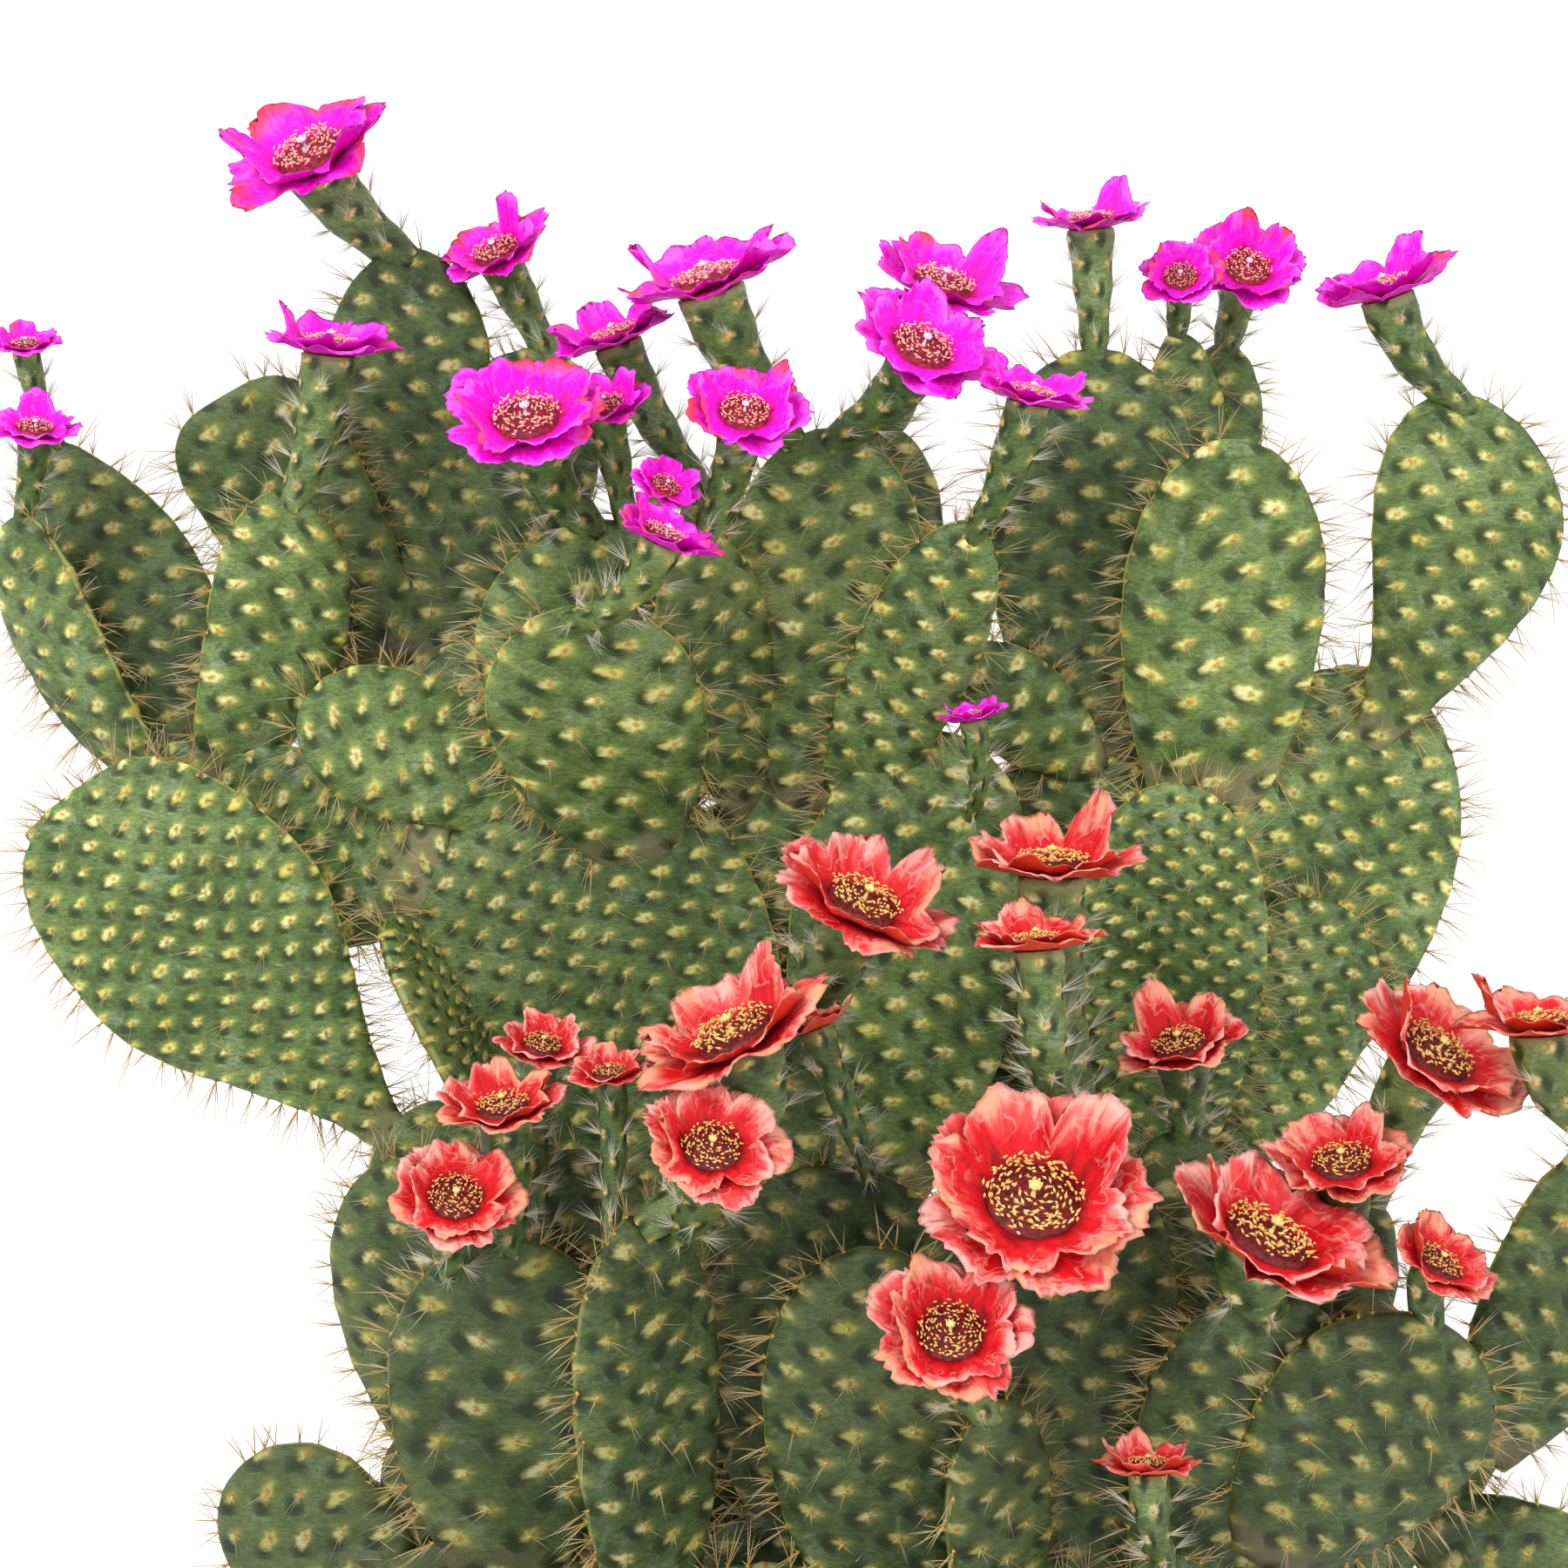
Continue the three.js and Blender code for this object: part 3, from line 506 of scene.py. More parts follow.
def lattice_swell(across, along):
    """How far the flesh swells at an areole and dips beside it, for a place in the areole lattice."""
    near_u = across - math.floor(across) - 0.5
    near_v = along - math.floor(along) - 0.5
    rise = math.exp(-(near_u ** 2 + near_v ** 2) / 0.3 ** 2)
    dip = math.exp(-((near_u - DIMPLE_U) ** 2 + (near_v - DIMPLE_V) ** 2) / 0.2 ** 2)
    return AREOLE_SWELL * rise - AREOLE_DIMPLE * dip


def skin_depth(turn):
    """How far a pad's skin lies out of its middle plane, as a share of half its thickness."""
    return math.copysign(math.sqrt(max(0, 1 - math.cos(turn) ** 4)), math.sin(turn))


class Pad:
    """The form of one pad: its middle line, outline, skin and lattice of areoles."""

    def __init__(self, plan, number, tint_and_shade):
        self.plan = plan
        self.number = number
        self.tint_and_shade = tint_and_shade
        self.foot = planted(plan["foot"])
        self.tip = planted(plan["tip"])
        self.along, self.across, self.face, self.length = frame_of(self.foot, self.tip, plan["turn"])
        self.spacing = plan["areoles"]
        dice = random.Random(number * 7 + 3)
        self.waves = [dice.uniform(0, FULL_TURN) for _ in range(4)]

    def outline(self, share):
        """Half the width, as a share of the widest."""
        neck, belly = self.plan["neck"], self.plan["belly"]
        if share <= 0:
            return neck
        if share < belly:
            return mix(neck, 1, math.sin(math.pi / 2 * (share / belly) ** self.plan["rise"]))
        return max(0, 1 - ((share - belly) / (1 - belly)) ** 2) ** self.plan["point"]

    def half_width(self, share):
        return self.plan["width"] / 2 * self.outline(share)

    def middle(self, share):
        bulge = 4 * share * (1 - share)
        return (self.foot + self.along * (self.length * share)
                + self.across * (self.plan["sway"] * bulge) + self.face * (self.plan["bow"] * bulge))

    def lattice(self, across, along):
        """Millimetres across and along the pad, turned into steps of the slanting areole lattice."""
        bent_across = across + self.stray(along, 0)
        bent_along = along + self.stray(across, 2)
        step = self.spacing * math.sqrt(2)
        return (bent_across + bent_along) / step, (bent_across - bent_along) / step

    def stray(self, place, first_wave):
        """How far the rows of areoles wander, in millimetres."""
        return (0.2 * self.spacing * math.sin(place / 19 + self.waves[first_wave])
                + 0.11 * self.spacing * math.sin(place / 7 + self.waves[first_wave + 1]))

    def from_lattice(self, u, v):
        """The millimetres across and along at which a step of the lattice lies."""
        step = self.spacing * math.sqrt(2)
        goal_across = (u + v) * step / 2
        goal_along = (u - v) * step / 2
        across, along = goal_across, goal_along
        for _ in range(8):
            across = goal_across - self.stray(along, 0)
            along = goal_along - self.stray(across, 2)
        return across, along

    def normal(self, share, turn):
        side = math.cos(turn)
        step = 0.01
        low, high = max(0, share - step), min(1, share + step)
        fall = (self.half_width(low) - self.half_width(high)) / ((high - low) * self.length)
        slope = self.along * (fall * abs(side) ** 3)
        return (self.face * skin_depth(turn) - self.across * side ** 3 + slope).normalized()

    def skin(self, share, turn):
        """A point of the skin: turn goes from one rim over the front to the other, half a turn on."""
        side = math.cos(turn)
        half = self.half_width(share)
        half_deep = PAD_THICKNESS / 2 * math.sqrt(self.outline(share))
        deep = skin_depth(turn) * half_deep
        return self.middle(share) - self.across * (side * half) + self.face * deep

    def rows(self):
        """The shares of the length at which the skin has a ring of points, closer together at the tip."""
        belly = self.plan["belly"]
        upper = max(8, round(self.length * (1 - belly) * math.pi / 2 / PAD_MESH_STEP))
        lower = max(8, round(self.length * belly / PAD_MESH_STEP))
        shares = [belly * row / lower for row in range(lower)]
        shares += [belly + (1 - belly) * math.sin(math.pi / 2 * row / upper) for row in range(upper)]
        return shares

    def add_skin(self, piece, finish=0):
        columns = max(20, 2 * round(self.plan["width"] * math.pi / 2 / PAD_MESH_STEP))
        rings = []
        for share in self.rows():
            ring = []
            for column in range(columns):
                turn = column / columns * FULL_TURN
                side = math.cos(turn)
                grid = self.lattice(-side * self.half_width(share), share * self.length)
                place = self.skin(share, turn) + self.normal(share, turn) * lattice_swell(*grid)
                tone = (share, abs(side) ** 2, self.tint_and_shade)
                ring.append(piece.point(place, (*grid, self.number), tone))
            rings.append(ring)
        for lower, upper in zip(rings, rings[1:]):
            piece.band(lower, upper, finish)
        grid = (*self.lattice(0, self.length), self.number)
        end = piece.point(self.middle(1), grid, (1, 1, self.tint_and_shade))
        piece.cap(rings[-1], end, finish)
        root = piece.point(self.foot, (*self.lattice(0, 0), self.number), (0, 0, self.tint_and_shade))
        piece.foot_cap(rings[0], root, finish)

    def face_areoles(self):
        """The places of the areoles on both faces."""
        reach = int((self.plan["width"] + self.length) / self.spacing) + 2
        found = []
        for i in range(-reach, reach):
            for j in range(-reach, reach):
                across, along = self.from_lattice(i + 0.5, j + 0.5)
                share = along / self.length
                if not AREOLE_LOWEST < share < AREOLE_HIGHEST:
                    continue
                side = -across / self.half_width(share)
                if abs(side) < FACE_REACH:
                    found.append((share, math.acos(side)))
                    found.append((share, -math.acos(side)))
        return found

    def rim_areoles(self, dice):
        """The places of the areoles along both rims, evenly spaced along the outline."""
        found = []
        for start in (0, math.pi):
            walked, last = 0, None
            goal = dice.uniform(0, RIM_TUFT_STEP)
            for step in range(RIM_STEPS + 1):
                share = RIM_START + RIM_SHARE * math.sin(math.pi / 2 * step / RIM_STEPS)
                spot = self.skin(share, start)
                if last is not None:
                    walked += (spot - last).length
                last = spot
                if walked >= goal:
                    found.append((share, start + dice.uniform(-0.3, 0.3)))
                    goal += RIM_TUFT_STEP * dice.uniform(0.5, 1.5)
        return found


class Tube:
    """The form of one flower tube, bending from its foot to look where its bloom looks."""

    def __init__(self, plan, number, tint_and_shade):
        self.number = number
        self.tint_and_shade = tint_and_shade
        self.foot = planted(plan["foot"])
        self.seat = planted(plan["seat"])
        self.look = Vector(plan["face"]).normalized()
        self.reach = (self.seat - self.foot).length
        self.elbow = self.seat - self.look * (self.reach / 2)
        self.top_radius = plan["width"] * TUBE_TOP_RATIO

    def middle(self, share):
        rest = 1 - share
        return self.foot * (rest * rest) + self.elbow * (2 * rest * share) + self.seat * (share * share)

    def along(self, share):
        return ((self.elbow - self.foot) * (1 - share) + (self.seat - self.elbow) * share).normalized()

    def radius(self, share):
        return self.top_radius * mix(TUBE_FOOT_RATIO, 1, max(0, share) ** TUBE_FLARE)

    def lattice(self, share, turn):
        """turn runs from minus to plus half a turn; the lattice is mirrored, so that it closes behind."""
        around = TUBE_AREOLES_ROUND / 2 * abs(turn) / math.pi
        along = share * self.reach / TUBE_AREOLE_ROW
        return around + along, around - along

    def normal(self, share, turn):
        along = self.along(share)
        side = Vector((0, 1, 0)).cross(along).normalized()
        other = along.cross(side)
        return other * math.sin(turn) - side * math.cos(turn)

    def skin(self, share, turn):
        return self.middle(share) + self.normal(share, turn) * self.radius(share)

    def add_skin(self, piece, finish):
        rows = max(10, round(self.reach / TUBE_MESH_STEP))
        rings = []
        for row in range(rows + 1):
            share = row / rows
            ring = []
            for column in range(TUBE_SIDES):
                turn = (column / TUBE_SIDES - 0.5) * FULL_TURN
                grid = self.lattice(share, turn)
                swell = lattice_swell(*grid) * min(1, self.top_radius / 8) * 1.2
                if row == rows:
                    swell = min(0, swell)
                place = self.skin(share, turn) + self.normal(share, turn) * swell
                ring.append(piece.point(place, (*grid, self.number), (share, 0, self.tint_and_shade)))
            rings.append(ring)
        for lower, upper in zip(rings, rings[1:]):
            piece.band(lower, upper, finish)
        end = piece.point(self.seat, (*self.lattice(1, 0), self.number), (1, 0, self.tint_and_shade))
        piece.cap(rings[-1], end, finish)
        root = piece.point(self.foot, (*self.lattice(0, 0), self.number), (0, 0, self.tint_and_shade))
        piece.foot_cap(rings[0], root, finish)

    def areoles(self):
        found = []
        levels = int(2 * self.reach / TUBE_AREOLE_ROW) + 1
        for level in range(1, levels):
            share = level / 2 * TUBE_AREOLE_ROW / self.reach
            if share > TUBE_BARE_FROM:
                continue
            # The middles of the cells lie at whole steps round on one level and between them on the next
            for step in range(TUBE_AREOLES_ROUND + 1):
                if (step + level) % 2 == 0:
                    continue
                around = step / 2
                turn = around / (TUBE_AREOLES_ROUND / 2) * math.pi
                found.append((share, turn))
                if 0 < step < TUBE_AREOLES_ROUND:
                    found.append((share, -turn))
        return found


# Random numbers for the petals, drawn in the same order as for the solids
class PetalDice:
    WHOLE = 0xFFFFFFFF

    def __init__(self, seed):
        self.seed = seed

    def between(self, low, high):
        self.seed = (self.seed + 0x6D2B79F5) & self.WHOLE
        mixed = ((self.seed ^ (self.seed >> 15)) * (1 | self.seed)) & self.WHOLE
        mixed = ((mixed + (mixed ^ (mixed >> 7)) * (61 | mixed)) & self.WHOLE) ^ mixed
        return low + (high - low) * ((mixed ^ (mixed >> 14)) / 2 ** 32)


def petal_edges(dice):
    """How far out and how high the petals reach, column by column, in the outer and the inner ring.

    The columns go round from the right by the front: the front petals lie lower, one at the back stands.
    """
    lifts = []
    for column in range(2 * PETAL_COUNT):
        in_front = max(0, math.sin(column / PETAL_COUNT * math.pi))
        lifts.append(dice.between(*PETAL_LIFTS) * (1 - FRONT_DROOP * in_front))
    edges = {}
    for ring, first_petal, notch, standing in PETAL_RINGS:
        raised = math.floor(dice.between(FIRST_STANDING, PETAL_COUNT))
        edges[ring] = []
        for column, petal_lift in enumerate(lifts):
            is_petal = column % 2 == first_petal
            stands = is_petal and column // 2 == raised
            reach = dice.between(*PETAL_REACHES) * (1 if is_petal else notch)
            reach *= STANDING_REACH if stands else 1
            lift = petal_lift * (1 if is_petal else NOTCH_LIFT) * (standing if stands else 1)
            edges[ring].append((is_petal, reach, lift))
    return edges


class Bloom:
    """One bloom: two rings of ruffled petals round a dome of stamens."""

    def __init__(self, plan, edges, number):
        self.width = plan["width"]
        self.number = number
        self.edges = edges
        self.seat = planted(plan["seat"])
        look = Vector(plan["face"]).normalized()
        self.along, self.across, self.face, _ = frame_of(self.seat, self.seat + look)
        self.dice = random.Random(number * 13 + 5)

    def place(self, turn, far, high):
        """A place by its turn round the bloom, its share of the width out from the middle, and up."""
        out = self.face * math.sin(turn) - self.across * math.cos(turn)
        spot = self.seat + out * (far * self.width) + self.along * (high * self.width)
        # The tallest petals bend over just below the top of the solids
        over = spot.z - (BOX_HIGH.z - PETAL_EASE)
        if over > 0:
            spot.z = BOX_HIGH.z - PETAL_EASE * math.exp(-over / PETAL_EASE)
        return spot

    def rim(self, ring, turn, notch_depth):
        """How far out and how high a ring's edge runs at a turn, and how near that is to a notch."""
        edges = self.edges[ring]
        place = turn / FULL_TURN * len(edges)
        before = math.floor(place) % len(edges)
        share = place - math.floor(place)
        left, right = edges[before], edges[(before + 1) % len(edges)]
        # Petals stay broad, and the notches between them are narrow
        share = share ** PETAL_BREADTH if left[0] else 1 - (1 - share) ** PETAL_BREADTH
        notch = share if left[0] else 1 - share
        reach = mix(left[1], right[1], share) * (1 - notch_depth * notch)
        return reach, mix(left[2], right[2], share), notch

    def add_sheet(self, piece, ring, base, edge, notch_depth, columns):
        """A ring of petals grown together into one ruffled bowl; base and edge are (far, high)."""
        dice = self.dice
        waves = [dice.uniform(0, FULL_TURN) for _ in range(7)]
        patches = [dice.random() for _ in range(PETAL_COUNT)]
        teeth = [dice.uniform(-1, 0.7) for _ in range(columns)]
        half_thick = PETAL_THICKNESS / self.width / 2
        rings = {0: [], 1: []}
        for row in range(PETAL_ROWS + 1):
            p = row / PETAL_ROWS
            for layer in rings.values():
                layer.append([])
            for column in range(columns):
                turn = column / columns * FULL_TURN
                reach, lift, notch = self.rim(ring, turn, notch_depth)
                # The margin is torn finely in places and smooth between them
                torn = 0.35 + 0.65 * max(0, math.sin(4 * turn + waves[6]))
                lobes = 0.03 * math.sin(7 * turn + waves[0]) + 0.022 * math.sin(13 * turn + waves[1])
                out = reach * (1 + lobes + teeth[column] * PETAL_JAG * torn)
                far = mix(base[0], edge[0] * mix(reach, out, p), p)
                ruffle = (math.sin(5 * turn + waves[2] + 1.6 * p) + 0.8 * math.sin(9 * turn + waves[3] - p)
                          + 0.45 * math.sin(16 * turn + waves[4]) * p)
                high = mix(base[1], edge[1] * lift, p ** 1.35) - 0.03 * notch ** 3 * p
                high += PETAL_RUFFLE * p ** 1.5 * ruffle + 0.012 * math.sin(p * 7 + waves[5]) * p
                grid = (4 * math.cos(turn), 4 * math.sin(turn), self.number)
                patch = patches[int(turn / FULL_TURN * PETAL_COUNT + 0.5) % PETAL_COUNT]
                rim_here = row in (0, PETAL_ROWS)
                upper = piece.point(self.place(turn, far, high + (0 if rim_here else half_thick)), grid,
                                    (0.5 if rim_here else 0, p, patch))
                rings[0][row].append(upper)
                if rim_here:
                    rings[1][row].append(upper)
                else:
                    under = self.place(turn, far, high - half_thick)
                    rings[1][row].append(piece.point(under, grid, (1, p, patch)))
        for row in range(PETAL_ROWS):
            piece.band(rings[0][row + 1], rings[0][row])
            piece.band(rings[1][row], rings[1][row + 1])

    def add_petals(self, piece):
        columns = round(mix(*PETAL_COLUMNS, min(1, self.width / WIDEST_BLOOM)))
        self.add_sheet(piece, columns=columns, **OUTER_SHEET)
        self.add_sheet(piece, columns=columns - 10, **INNER_SHEET)

    def add_cup(self, piece, finish):
        """The underside that joins the petals to the tube, and the dark dome under the stamens."""
        rings = []
        for far, high in CUP_ROWS:
            rings.append([piece.point(self.place(turn, far, high), (0, far, self.number))
                          for turn in turns(CUP_SIDES)])
        foot = piece.point(self.place(0, 0, 0), (0, 0, self.number))
        top = piece.point(self.place(0, 0, CUP_TOP), (0, 0, self.number))
        piece.closed(rings, foot, top, finish)

    def add_stamens(self, piece, filament, anther, stigma):
        dice = self.dice
        count = round(mix(*STAMENS, min(1, self.width / WIDEST_BLOOM)))
        for index in range(count):
            # A golden-angle spiral spreads the anthers evenly over the dome
            share = math.sqrt((index + 0.5) / count)
            far = mix(*STAMEN_OUT, share) * dice.uniform(0.92, 1.06)
            turn = index * GOLDEN_ANGLE + dice.uniform(-0.25, 0.25)
            high = STAMEN_TOP - 0.02 * share ** 2 + dice.uniform(-0.02, 0.02)
            root = self.place(turn, far * 0.85, STAMEN_ROOT)
            tip = self.place(turn, far, high)
            along = (tip - root).normalized()
            add_needle(piece, root, along, (tip - root).length, FILAMENT_RADIUS, dice.random(), filament)
            lean = self.across * math.sin(turn) + self.face * math.cos(turn)
            lean += self.along * dice.uniform(-0.3, 0.5)
            lean += Vector([dice.uniform(-0.7, 0.7) for _ in range(3)])
            length = dice.uniform(*ANTHER_LENGTHS)
            self.add_bead(piece, tip, lean.normalized(), ANTHER_RADIUS, length, anther)
        base = self.place(0, 0, PISTIL_FOOT)
        pistil, thick = self.width * PISTIL_LENGTH, self.width * PISTIL_RADIUS
        add_needle(piece, base, self.along, pistil, thick, 0.9, stigma)
        for turn in turns(STIGMA_LOBES):
            spot = self.place(turn, 0.017, 0.148)
            lean = (spot - self.place(0, 0, STAMEN_TOP)).normalized()
            self.add_bead(piece, spot, lean, 0.013, 0.02, stigma)
        self.add_bead(piece, self.place(0, 0, 0.155), self.along, 0.026, 0.022, stigma)

    def add_bead(self, piece, middle, along, radius, half_length, finish):
        """A small bead drawn out along one direction, its sizes shares of the bloom's width."""
        radius *= self.width
        half_length *= self.width
        shade = self.dice.random()
        ring = [piece.point(middle + out * radius, tone=(0.5, shade, 0)) for out in spokes(along, 5)]
        low = piece.point(middle - along * half_length, tone=(0, shade, 0))
        high = piece.point(middle + along * half_length, tone=(1, shade, 0))
        for corner in range(5):
            after = (corner + 1) % 5
            piece.face((ring[corner], ring[after], high), finish)
            piece.face((ring[after], ring[corner], low), finish)


# Materials
def srgb(red, green, blue):
    """A colour as seen on screen, turned into the light values that Blender mixes."""
    def light(value):
        value /= 255
        return value / 12.92 if value < 0.04 else ((value + 0.055) / 1.055) ** 2.4
    return (light(red), light(green), light(blue), 1.0)


class Finish:
    """One material, with short words for its nodes."""

    def __init__(self, name, roughness, specular=0.5):
        self.material = bpy.data.materials.new(name)
        self.material.use_nodes = True
        self.nodes = self.material.node_tree.nodes
        self.links = self.material.node_tree.links
        self.surface = self.nodes["Principled BSDF"]
        self.surface.inputs["Roughness"].default_value = roughness
        self.surface.inputs["Specular IOR Level"].default_value = specular

    def put(self, socket, value):
        if isinstance(value, bpy.types.NodeSocket):
            self.links.new(value, socket)
        else:
            socket.default_value = value

    def node(self, kind, values, **settings):
        """A new node of the material, with values or other nodes' outputs put in its sockets."""
        made = self.nodes.new("ShaderNode" + kind)
        for setting, choice in settings.items():
            setattr(made, setting, choice)
        for socket, value in values.items():
            self.put(made.inputs[socket], value)
        return made

    def math(self, operation, first, second=0.0):
        return self.node("Math", {0: first, 1: second}, operation=operation).outputs[0]

    def times(self, first, second):
        return self.math("MULTIPLY", first, second)

    def plus(self, first, second):
        return self.math("ADD", first, second)

    def minus(self, first, second):
        return self.math("SUBTRACT", first, second)

    def stain(self, share, strength, under, over):
        """Lays a colour over another where share is high, at most by strength."""
        return self.mix(self.times(share, strength), under, over)

    def soft(self, value, start, end, low=0.0, high=1.0):
        """Goes smoothly from low to high as value goes from start to end."""
        values = {"Value": value, "From Min": start, "From Max": end, "To Min": low, "To Max": high}
        return self.node("MapRange", values, interpolation_type="SMOOTHSTEP").outputs["Result"]

    def mix(self, share, first, second, blend="MIX"):
        values = {0: share, 6: first, 7: second}
        return self.node("Mix", values, data_type="RGBA", blend_type=blend).outputs[2]

    def ramp(self, value, *stops):
        node = self.node("ValToRGB", {"Fac": value})
        elements = node.color_ramp.elements
        while len(elements) < len(stops):
            elements.new(0.5)
        for element, (position, colour) in zip(elements, stops):
            element.position = position
            element.color = colour
        return node.outputs["Color"]

    def place(self):
        """Where a point is on the piece, in metres."""
        return self.node("TexCoord", {}).outputs["Object"]

    def mark(self, name):
        return self.node("Attribute", {}, attribute_name=name).outputs["Vector"]

    def split(self, vector):
        node = self.node("SeparateXYZ", {0: vector})
        return node.outputs[0], node.outputs[1], node.outputs[2]

    def join(self, x, y, z):
        return self.node("CombineXYZ", {0: x, 1: y, 2: z}).outputs[0]

    def stretch(self, vector, scale):
        return self.node("VectorMath", {0: vector, 1: scale}, operation="MULTIPLY").outputs[0]

    def noise(self, vector, scale, detail=2.0, roughness=0.5, distortion=0.0, colour=False):
        values = {"Vector": vector, "Scale": scale, "Detail": detail, "Roughness": roughness,
                  "Distortion": distortion}
        return self.node("TexNoise", values).outputs["Color" if colour else "Fac"]

    def chance(self, vector):
        """Three random numbers for each cell of a lattice."""
        node = self.node("TexWhiteNoise", {"Vector": vector}, noise_dimensions="3D")
        return self.split(node.outputs["Color"])

    def distance(self, x, y):
        return self.math("SQRT", self.plus(self.times(x, x), self.times(y, y)))

    def bump(self, height, strength, distance):
        node = self.node("Bump", {"Strength": strength, "Distance": distance, "Height": height})
        self.links.new(node.outputs["Normal"], self.surface.inputs["Normal"])

    def colour(self, value):
        self.put(self.surface.inputs["Base Color"], value)
        return self


def cactus_skin(name, tube=False):
    """Waxy green skin, mottled and finely grained, with ragged areoles and a dimple beside each, painted
    dark as its shade.
    """
    finish = Finish(name, 0.56, 0.35)
    place = finish.place()
    u, v, number = finish.split(finish.mark("grid"))
    share, rim, tint_and_shade = finish.split(finish.mark("tone"))
    cell_u = finish.math("FLOOR", u)
    cell_v = finish.math("FLOOR", v)
    size, bright, spin = finish.chance(finish.join(cell_u, cell_v, number))
    near_u = finish.minus(finish.minus(u, cell_u), 0.5)
    near_v = finish.minus(finish.minus(v, cell_v), 0.5)
    size_scale = 0.72 if tube else 1.0
    level = finish.stretch(place, (0.4, 0.4, 1.0))
    stray = finish.split(finish.noise(level, 330, 4, 0.75, 0.6, colour=True))
    spread = 0.34
    stray_u = finish.plus(near_u, finish.times(finish.minus(stray[0], 0.5), spread))
    stray_v = finish.plus(near_v, finish.times(finish.minus(stray[1], 0.5), spread))
    # The blotches are wider across the pad than along it
    wide = finish.minus(finish.times(finish.plus(stray_u, stray_v), 0.5), 0.03)
    tall = finish.times(finish.minus(stray_u, stray_v), 0.92)
    around = finish.distance(wide, tall)
    angle = finish.plus(finish.math("ARCTAN2", near_v, near_u), finish.times(spin, 6.0))
    rays = finish.math("SINE", finish.times(angle, 5.0))
    rays = finish.times(finish.plus(rays, finish.math("SINE", angle)), 0.022)
    reach = finish.plus(finish.times(size, 0.12 * size_scale), 0.07 * size_scale)
    reach = finish.plus(reach, rays)
    away = finish.minus(around, reach)
    blotch = finish.soft(away, 0.1, -0.07)
    halo = finish.soft(away, 0.26, 0.0)
    core = finish.soft(finish.distance(finish.plus(near_u, 0.03), finish.plus(near_v, 0.03)),
                       0.12, 0.03)
    # The dimple beside each areole: a dip in the bump, and a patch of painted shade
    dimple_and_shade = finish.soft(finish.distance(finish.minus(stray_u, DIMPLE_U + 0.05),
                                         finish.minus(stray_v, DIMPLE_V + 0.05)), 0.42, 0.08)

    clouds = finish.noise(place, 24, 6, 0.65)
    green = finish.ramp(clouds, (0.32, srgb(62, 86, 34)), (0.5, srgb(98, 124, 62)),
                        (0.68, srgb(136, 158, 94)))
    wax = finish.soft(finish.noise(place, 66, 5, 0.7, 0.6), 0.52, 0.72)
    green = finish.stain(wax, 0.5, green, srgb(166, 184, 152))
    grain = finish.noise(place, 330, 5, 0.75, 2.2)
    fibres = finish.noise(finish.stretch(place, (0.3, 0.3, 1.0)), 560, 5, 0.75, 1.6)
    grained = finish.plus(finish.times(grain, 0.3), finish.times(fibres, 0.7))
    greys = finish.ramp(grained, (0.36, srgb(66, 66, 66)), (0.64, srgb(196, 196, 196)))
    green = finish.mix(0.85, green, greys, "OVERLAY")
    olive = finish.soft(finish.noise(place, 9, 2), 0.5, 0.75)
    green = finish.stain(olive, 0.3, green, srgb(124, 124, 62))
    edge = finish.soft(rim, 0.965, 1.0)
    edge_share = finish.times(edge, 0.0 if tube else 0.7)
    green = finish.mix(edge_share, green, srgb(176, 178, 96))
    cork_line = finish.plus(share, finish.times(finish.noise(place, 70, 3), 0.16))
    cork = finish.soft(cork_line, 0.26, 0.14)
    green = finish.stain(cork, 0.1 if tube else 0.75, green, srgb(124, 112, 84))
    if tube:
        cream_top = finish.soft(share, 0.92, 1.0)
        green = finish.stain(cream_top, 0.4, green, srgb(206, 202, 138))
    green = finish.stain(halo, 0.5, green, srgb(156, 166, 70))
    # Painted shade: the skin is darkened in the dimple on one side of each areole, as if it lay in shadow
    green = finish.stain(dimple_and_shade, 0.92, green, srgb(24, 46, 12))
    cream = finish.mix(bright, srgb(206, 200, 96), srgb(234, 228, 160))
    if tube:
        cream = finish.mix(bright, srgb(226, 190, 110), srgb(240, 226, 176))
    skin = finish.stain(blotch, 0.88, green, cream)
    skin = finish.stain(core, 0.8, skin, srgb(176, 128, 36))
    # Each pad's tint, which holds the painted shade of low pads, scales the skin's brightness
    dark = finish.plus(finish.times(tint_and_shade, 0.45), 1.0)
    skin = finish.mix(1.0, skin, finish.join(dark, dark, dark), "MULTIPLY")
    finish.colour(skin)

    height = finish.plus(finish.times(blotch, 0.6), finish.times(grained, 0.5))
    height = finish.minus(height, finish.times(dimple_and_shade, 0.5))
    finish.bump(height, 0.5, 0.0014)
    finish.put(finish.surface.inputs["Roughness"], finish.soft(wax, 0.0, 1.0, 0.5, 0.72))
    return finish.material


def spine_finish(name, root, body, tip):
    finish = Finish(name, 0.42)
    share, chance, _ = finish.split(finish.mark("tone"))
    colour = finish.ramp(share, (0.0, root), (0.35, body), (1.0, tip))
    speck = finish.noise(finish.place(), 900, 2)
    tone = finish.plus(finish.times(chance, 0.4), finish.times(speck, 0.3))
    tone = finish.plus(tone, 0.65)
    return finish.colour(finish.mix(1.0, colour, finish.join(tone, tone, tone), "MULTIPLY")).material


